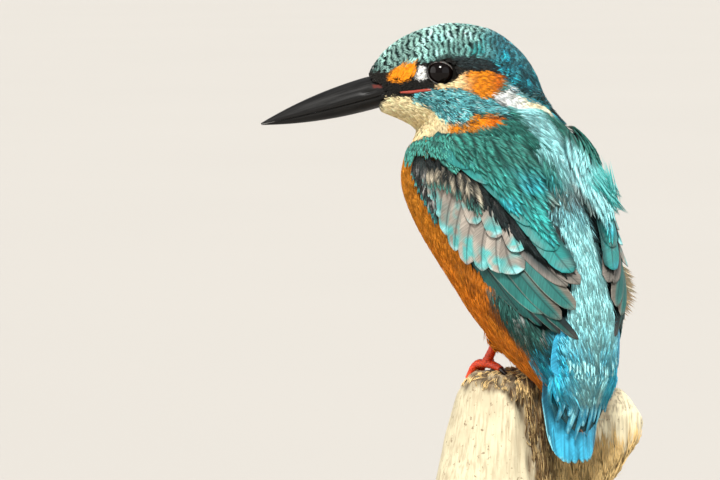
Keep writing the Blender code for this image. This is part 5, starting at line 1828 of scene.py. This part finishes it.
def wood_material(settings):
    """Dead willow: silver-cream and fine-lined where it is bare, brown and fibrous where it tore."""
    dry = {"Roughness": 0.8, "Specular IOR Level": 0.25}
    material, tree, shader = new_material("weathered willow wood", dry)
    pale, dark = (*settings.wood_pale, 1), (*settings.wood_dark, 1)
    straw = tuple(0.45 * a + 0.55 * b for a, b in zip(pale, dark))
    gold = tuple(a * b for a, b in zip(pale, (1.0, 0.8, 0.52, 1)))
    where = add_node(tree, "TexCoord", {}, "Object")
    long = add_node(tree, "Mapping", {"Scale": (1, 1, 0.12), "Vector": where})
    lean = add_node(tree, "Mapping", {"Rotation": (0.5, 0.45, 0), "Scale": (1, 1, 0.06), "Vector": where})
    fine = {"Scale": 1 / (0.9 * MM), "Detail": 5.0, "Roughness": 0.7}
    fibre = add_node(tree, "TexNoise", {**fine, "Vector": long})
    cloud = add_node(tree, "TexNoise", {"Scale": 1 / (7 * MM), "Detail": 4.0, "Vector": where})
    specks = add_node(tree, "TexNoise", {"Scale": 1 / (1.1 * MM), "Detail": 2.0, "Vector": where})
    lines = add_node(tree, "TexNoise", {"Scale": 1 / (0.7 * MM), "Detail": 4.0, "Vector": lean})
    zones = ("Bleached", "Grain", "PaintedSunlight")
    bleached, relief, sunlit = (
        add_node(tree, "Attribute", {"attribute_name": zone}, "Fac") for zone in zones
    )

    def share(value, low, high, start=0.0, end=1.0):
        span = {"From Min": low, "From Max": high, "To Min": start, "To Max": end}
        return add_node(tree, "MapRange", {"Value": value, **span})

    # Painted shade: the bleached face is darkened by a quarter away from the sunlit side.
    smooth = add_node(tree, "Mix", {**MULTIPLY, 6: pale, 7: share(sunlit, 0.15, 0.9, 0.75)}, 2)
    for amount, colour in (
        (share(cloud, 0.42, 0.68, 0, 0.6), straw),
        (share(lines, 0.46, 0.66), straw),
        (share(specks, 0.65, 0.73, 0, 0.65), dark),
    ):
        smooth = add_node(tree, "Mix", {**BLEND, 0: amount, 6: smooth, 7: colour}, 2)
    torn = dark
    for amount, colour in (
        (share(fibre, 0.38, 0.62), straw),
        (share(relief, 0.5, 0.95, 0, 0.5), pale),
        # Painted sunlight: the torn grain turns gold on its sunlit side.
        (share(sunlit, 0.1, 0.8, 0, 0.85), gold),
    ):
        torn = add_node(tree, "Mix", {**BLEND, 0: amount, 6: torn, 7: colour}, 2)
    # Painted shade: the torn grain darkens in its hollows and cracks.
    torn = add_node(tree, "Mix", {**MULTIPLY, 6: torn, 7: share(relief, 0.2, 0.8, 0.12, 0.9)}, 2)
    feed(shader, {
        "Base Color": add_node(tree, "Mix", {**BLEND, 0: bleached, 6: torn, 7: smooth}, 2),
        "Normal": add_node(tree, "Bump", {"Strength": 0.55, "Distance": 0.3 * MM, "Height": fibre}),
    })
    return material


def make_perch(context):
    """The broken limb: a smooth bleached face, and torn, weathered grain elsewhere."""
    settings = context.scene.kingfisher_bare_parts
    obj = melted("perch_wood", ("perch",), voxel=0.55, swell=0.0, rounds=4)
    places, normals, _ = mesh_arrays(obj)
    x, y, z = places.T
    beside = across_limb(x, y)
    ragged = 1.2 * noise(places, 7, 11) + 0.9 * noise(places * (1, 1, 0.3), 1.6, 12)
    past_edge = beside - (torn_line(z) + ragged)
    bare = ease(1.0, -1.0, past_edge) * ease(64.5, 61.5, z + 1.6 * noise(places, 3, 13))
    knob_face = ease(17, 18.5, beside + 1.5 * noise(places, 4, 14))
    knob_face = knob_face * ease(42, 47, z + 3 * noise(places, 5, 15))
    pale = np.maximum(bare, knob_face)
    stringy = places * (1, 1, 0.1)
    grain = noise(stringy, 0.9, 16) * 0.55 + noise(stringy, 2.0, 17) * 0.5
    grain = grain + noise(places * (1, 1, 0.35), 1.3, 18) * 0.3
    rough = grain * (1 - pale) * 0.75 + noise(places, 6, 19) * 0.25 + noise(stringy, 1.2, 20) * 0.06
    crack = np.clip(noise(places * (1, 1, 0.06), 2.6, 21) - 0.62, 0, 1) * -3.0
    lip = (ease(-1.4, 0.2, past_edge) * ease(2.0, 0.2, past_edge)) * -0.7
    top = ease(58, 64, z)
    splinters = top * noise(places * (1, 1, 0.15), 1.4, 22) * 0.7
    shift = rough + crack * (1 - 0.6 * pale) + lip + splinters
    under_bird = ease(4.0, 1.0, np.hypot(np.abs(x) - FOOT_X, y + 9)) * top
    shift = np.clip(shift * (1 - under_bird), -1.6, 0.5)
    low, high = node_box("perch")
    moved = np.clip(places + normals * shift[:, None], low - 0.4, high + 0.4)
    obj.data.vertices.foreach_set("co", (moved * MM).astype(np.float32).ravel())
    obj.data.shade_smooth()
    # Painted sunlight, strongest on the knob's side, which lightens the wood's colours.
    sunlit = ease(10, 15, beside + 2 * noise(places, 4, 23)) * 0.9 + 0.15
    # How high each place stands in the grain, low in its cracks, which sets the painted shade of the torn
    # grain.
    hollow = 0.5 + 0.45 * grain + 0.3 * crack
    for label, values in (("Bleached", pale), ("PaintedSunlight", sunlit), ("Grain", hollow)):
        layer = obj.data.attributes.new(label, "FLOAT", "POINT")
        layer.data.foreach_set("value", np.clip(values, 0, 1).astype(np.float32))
    obj.data.materials.clear()
    obj.data.materials.append(wood_material(settings))
    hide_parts("perch")
    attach(obj, "root")

    # Torn fibres that stand a little off the broken grain
    rng = np.random.default_rng(83)
    form = Surface(obj)

    def frayed(spots):
        x, y, z = spots.T
        beside = across_limb(x, y)
        torn = (beside > torn_line(z) + 1) | (z > 62)
        return torn & (z > 30) & ~((beside > 17) & (z > 45)) & (np.hypot(np.abs(x) - FOOT_X, y + 9) > 5)

    roots, normals = form.scatter(1.7, frayed, rng)
    count, barbs = len(roots), 5
    flow = np.array((0.1, 0.1, 1.0)) + rng.normal(0, 0.08, (count, 3))
    top = ease(60, 63.5, roots[:, 2])
    keep = rng.random(count) > 0.6 * top
    roots, normals, flow, top = roots[keep], normals[keep], flow[keep], top[keep]
    count = len(roots)
    length, width = rng.uniform(3, 9, count) * (1 - 0.65 * top), rng.uniform(1.0, 2.2, count)
    corners, alpha, lane = tufts(form, roots, normals, flow, length, width, 0.012, barbs, rng, 0.7, fat=0.7)
    # Painted sunlight: fibres turn gold on the knob's side and on top.
    sunny = np.maximum(ease(9, 15, roots @ (-0.819, 0.574, 0) + 4.6), ease(58, 62, roots[:, 2]))
    share = np.clip(rng.beta(0.6, 1.9, (count, barbs, 1)) + 0.75 * sunny[:, None, None], 0, 1)
    dark = np.array(settings.wood_dark) * 0.7
    gold = np.array(settings.wood_pale) * (1.0, 0.8, 0.52)
    tint = dark + (gold - dark) * share
    turn = np.stack((np.arctan2(roots[:, 1], roots[:, 0]) / (2 * math.pi) + 0.5, roots[:, 2] / 70), axis=1)
    spots = np.repeat(turn[:, None], barbs, axis=1)
    frayed_wood = feather_material("torn wood fibres", 0.6, 0.0, 0.4, 0.9, 0.0)
    fibres = sliver_piece("perch_fibres", corners, tint, alpha, spots, lane, frayed_wood)
    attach(fibres, "root")


def make_stand(context):
    """A turned, lacquered base and two steel rods with collars."""
    settings = context.scene.kingfisher_bare_parts
    # Sprayed lacquer on turned beech: deep black, smooth, with a soft clear coat and faint dust of polish
    lacquer_look = {"Roughness": 0.3, "Coat Weight": 0.5, "Coat Roughness": 0.12}
    lacquer, tree, shader = new_material("black lacquered beech", lacquer_look)
    place = add_node(tree, "TexCoord", {}, "Object")
    haze = add_node(tree, "TexNoise", {"Scale": 1 / (9 * MM), "Detail": 4.0, "Vector": place})
    dusty = add_node(tree, "MapRange", {"Value": haze, "From Min": 0.4, "From Max": 0.7})
    dull = {"Value": haze, "From Min": 0.3, "From Max": 0.7, "To Min": 0.26, "To Max": 0.38}
    black, lighter = paint_shade(settings.stand), paint_shade(settings.stand, 1.5, 0.003)
    feed(shader, {
        "Base Color": add_node(tree, "Mix", {**BLEND, 0: dusty, 6: black, 7: lighter}, 2),
        "Roughness": add_node(tree, "MapRange", dull),
    })
    radius, height = BASE_HIGH[0] * MM, (BASE_HIGH[2] - BASE_LOW[2]) * MM
    deselect_all()
    middle = (0, 0, height / 2)
    bpy.ops.mesh.primitive_cylinder_add(vertices=128, radius=radius, depth=height, location=middle)
    base = bpy.context.object
    bpy.ops.object.transform_apply(location=True)
    base.name = "stand_base_turned"
    bpy.ops.object.mode_set(mode="EDIT")
    bpy.ops.mesh.select_all(action="DESELECT")
    bpy.ops.object.mode_set(mode="OBJECT")
    for face in base.data.polygons:
        face.select = face.normal.z > 0.9
    bpy.ops.object.mode_set(mode="EDIT")
    bpy.ops.mesh.select_mode(type="FACE")
    for inset, rise in ((4.0, 0.0), (0.6, -0.5), (1.6, 0.0), (0.6, 0.5)):
        bpy.ops.mesh.inset(thickness=inset * MM)
        bpy.ops.transform.translate(value=(0, 0, rise * MM))
    bpy.ops.object.mode_set(mode="OBJECT")
    round_edges(base, 0.9, 4, 50)
    base.data.materials.append(lacquer)
    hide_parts("stand_base")
    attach(base, "root")
    # Drawn steel rod: bright, with fine lengthwise draw marks that blur its gloss
    steel_look = {"Base Color": (*settings.rod, 1), "Metallic": 1.0, "Roughness": 0.28}
    steel, tree, shader = new_material("drawn steel", steel_look)
    place = add_node(tree, "TexCoord", {}, "Object")
    drawn = add_node(tree, "Mapping", {"Scale": (1, 1, 0.03), "Vector": place})
    marks = add_node(tree, "TexNoise", {"Scale": 1 / (0.4 * MM), "Detail": 2.0, "Vector": drawn})
    dull = {"Value": marks, "From Min": 0.3, "From Max": 0.7, "To Min": 0.2, "To Max": 0.42}
    feed(shader, {"Roughness": add_node(tree, "MapRange", dull)})
    for label, _ in SIDES:
        low, high = node_box("stand_rod_" + label)
        middle = (low + high) / 2
        deselect_all()
        thick, tall = (high - low)[[0, 2]] * MM
        bpy.ops.mesh.primitive_cylinder_add(vertices=48, radius=thick / 2, depth=tall, location=middle * MM)
        rod = bpy.context.object
        foot = (middle[0] * MM, middle[1] * MM, (BASE_HIGH[2] + 1.2) * MM)
        bpy.ops.mesh.primitive_cylinder_add(vertices=48, radius=thick * 0.95, depth=2.4 * MM, location=foot)
        collar = bpy.context.object
        deselect_all()
        rod.select_set(True)
        collar.select_set(True)
        bpy.context.view_layer.objects.active = rod
        bpy.ops.object.join()
        bpy.ops.object.transform_apply(location=True)
        rod.name = f"stand_rod_{label}_steel"
        round_edges(rod, 0.35, 3)
        rod.data.materials.append(steel)
        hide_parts("stand_rod_" + label)
        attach(rod, "root")


def far_light(name, way, spread, strength, colour=(1, 1, 1)):
    """A large soft light far away, which lights the floor evenly. way points from the model to it."""
    light = bpy.data.lights.new(name, "SUN")
    light.angle = math.radians(spread)
    light.energy = strength
    light.color = colour
    obj = bpy.data.objects.new(name, light)
    bpy.context.scene.collection.objects.link(obj)
    obj.location = way
    obj.rotation_euler = (-way).to_track_quat("-Z", "Y").to_euler()


def make_stage(context):
    """A pale floor, soft studio light and the camera."""
    azimuth, elevation = math.radians(145), math.radians(5)
    right = Vector((math.cos(azimuth), math.sin(azimuth), 0))
    level = math.cos(elevation)
    back = Vector((math.sin(azimuth) * level, -math.cos(azimuth) * level, math.sin(elevation)))
    up = back.cross(right)
    lens, sensor, view_width = 200.0, 36.0, 194.6 * MM
    target = Vector((0, -8, FEET_Z)) * MM + right * -40.8 * MM + up * 35.1 * MM
    camera = bpy.data.cameras.new("camera")
    camera.lens = lens
    camera.sensor_width = sensor
    camera.clip_start = 0.01
    obj = bpy.data.objects.new("camera", camera)
    context.scene.collection.objects.link(obj)
    obj.location = target + back * view_width * lens / sensor
    obj.rotation_euler = (-back).to_track_quat("-Z", "Y").to_euler()
    context.scene.camera = obj
    deselect_all()
    bpy.ops.mesh.primitive_plane_add(size=14, location=(0, 0, 0))
    floor = bpy.context.object
    floor.name = "floor"
    # Matt paper, with a faint slow change of tone
    paper, tree, shader = new_material("pale studio paper", {"Roughness": 0.9, "Specular IOR Level": 0.1})
    place = add_node(tree, "TexCoord", {}, "Object")
    cloud = add_node(tree, "TexNoise", {"Scale": 3.0, "Detail": 2.0, "Vector": place})
    pale = context.scene.kingfisher_bare_parts.floor
    tone = {**BLEND, 0: cloud, 6: paint_shade(pale, 0.97), 7: paint_shade(pale)}
    feed(shader, {"Base Color": add_node(tree, "Mix", tone, 2)})
    floor.data.materials.append(paper)
    far_light("key", back * 0.75 - right * 0.05 + up * 0.7, 14, 4.4, (1.0, 0.98, 0.94))
    far_light("fill", back * 0.9 + right * 0.8 + up * 0.2, 60, 0.85, (0.94, 0.97, 1.0))
    far_light("side", back * 0.3 - right * 0.9 + up * 0.15, 60, 2.0, (1.0, 0.97, 0.93))
    far_light("rim", right * 0.6 - back * 0.5 + up * 0.7, 25, 1.3, (1.0, 0.98, 0.95))
    world = bpy.data.worlds.new("studio")
    world.use_nodes = True
    sky = world.node_tree.nodes["Background"]
    sky.inputs["Color"].default_value = (0.95, 0.97, 1.0, 1)
    sky.inputs["Strength"].default_value = 0.46
    context.scene.world = world
    context.scene.view_settings.view_transform = "Standard"


# ---------------------------------------------------------------- add-on


class KINGFISHER_OT_skin(Operator):
    """Make the skin with its sockets, which replaces the plain body"""

    bl_idname = "kingfisher.skin"
    bl_label = "Skin"

    def execute(self, context):
        make_skin(context)
        return {"FINISHED"}


class KINGFISHER_OT_coat(Operator):
    """Make the small feathers of the head and body"""

    bl_idname = "kingfisher.coat"
    bl_label = "Coat"

    def execute(self, context):
        make_coat(context)
        make_crown(context)
        make_flank(context)
        make_wisps(context)
        return {"FINISHED"}


class KINGFISHER_OT_wings(Operator):
    """Make both folded wings, feather by feather"""

    bl_idname = "kingfisher.wings"
    bl_label = "Wings"

    def execute(self, context):
        make_wings(context)
        return {"FINISHED"}


class KINGFISHER_OT_tail(Operator):
    """Make the tail feathers and the coverts over their roots"""

    bl_idname = "kingfisher.tail"
    bl_label = "Tail"

    def execute(self, context):
        make_tail(context)
        return {"FINISHED"}


class KINGFISHER_OT_bill(Operator):
    """Make both halves of the bill and the skin of the gape"""

    bl_idname = "kingfisher.bill"
    bl_label = "Bill"

    def execute(self, context):
        make_bill(context)
        return {"FINISHED"}


class KINGFISHER_OT_eyes(Operator):
    """Make the eyes and their lids"""

    bl_idname = "kingfisher.eyes"
    bl_label = "Eyes"

    def execute(self, context):
        make_eyes(context)
        return {"FINISHED"}


class KINGFISHER_OT_legs(Operator):
    """Make the scaly legs, feet and claws"""

    bl_idname = "kingfisher.legs"
    bl_label = "Legs"

    def execute(self, context):
        make_legs(context)
        return {"FINISHED"}


class KINGFISHER_OT_perch(Operator):
    """Make the weathered wood of the perch"""

    bl_idname = "kingfisher.perch"
    bl_label = "Perch"

    def execute(self, context):
        make_perch(context)
        return {"FINISHED"}


class KINGFISHER_OT_stand(Operator):
    """Make the turned base and the rods"""

    bl_idname = "kingfisher.stand"
    bl_label = "Stand"

    def execute(self, context):
        make_stand(context)
        return {"FINISHED"}


class KINGFISHER_OT_stage(Operator):
    """Make the floor, the lights and the camera"""

    bl_idname = "kingfisher.stage"
    bl_label = "Stage"

    def execute(self, context):
        make_stage(context)
        return {"FINISHED"}


OPERATORS = (
    KINGFISHER_OT_skin, KINGFISHER_OT_coat, KINGFISHER_OT_wings, KINGFISHER_OT_tail, KINGFISHER_OT_bill,
    KINGFISHER_OT_eyes, KINGFISHER_OT_legs, KINGFISHER_OT_perch, KINGFISHER_OT_stand, KINGFISHER_OT_stage,
)


class KINGFISHER_PT_panel(Panel):
    """Buttons for each piece of the model"""

    bl_idname = "KINGFISHER_PT_panel"
    bl_label = "Kingfisher"
    bl_space_type = "VIEW_3D"
    bl_region_type = "UI"
    bl_category = "Kingfisher"

    def draw(self, context):
        for operator in OPERATORS:
            self.layout.operator(operator.bl_idname)
        for group in ("kingfisher_sizes", "kingfisher_plumage", "kingfisher_bare_parts"):
            settings = getattr(context.scene, group)
            for key in type(settings).__annotations__:
                self.layout.prop(settings, key)


CLASSES = (PlumageColours, BarePartColours, KingfisherSizes) + OPERATORS + (KINGFISHER_PT_panel,)


def register():
    for cls in CLASSES:
        bpy.utils.register_class(cls)
    bpy.types.Scene.kingfisher_plumage = PointerProperty(type=PlumageColours)
    bpy.types.Scene.kingfisher_bare_parts = PointerProperty(type=BarePartColours)
    bpy.types.Scene.kingfisher_sizes = PointerProperty(type=KingfisherSizes)


def unregister():
    del bpy.types.Scene.kingfisher_sizes
    del bpy.types.Scene.kingfisher_bare_parts
    del bpy.types.Scene.kingfisher_plumage
    for cls in reversed(CLASSES):
        bpy.utils.unregister_class(cls)


def main():
    register()
    for operator in OPERATORS:
        group, name = operator.bl_idname.split(".")
        getattr(getattr(bpy.ops, group), name)()


if __name__ == "__main__":
    main()
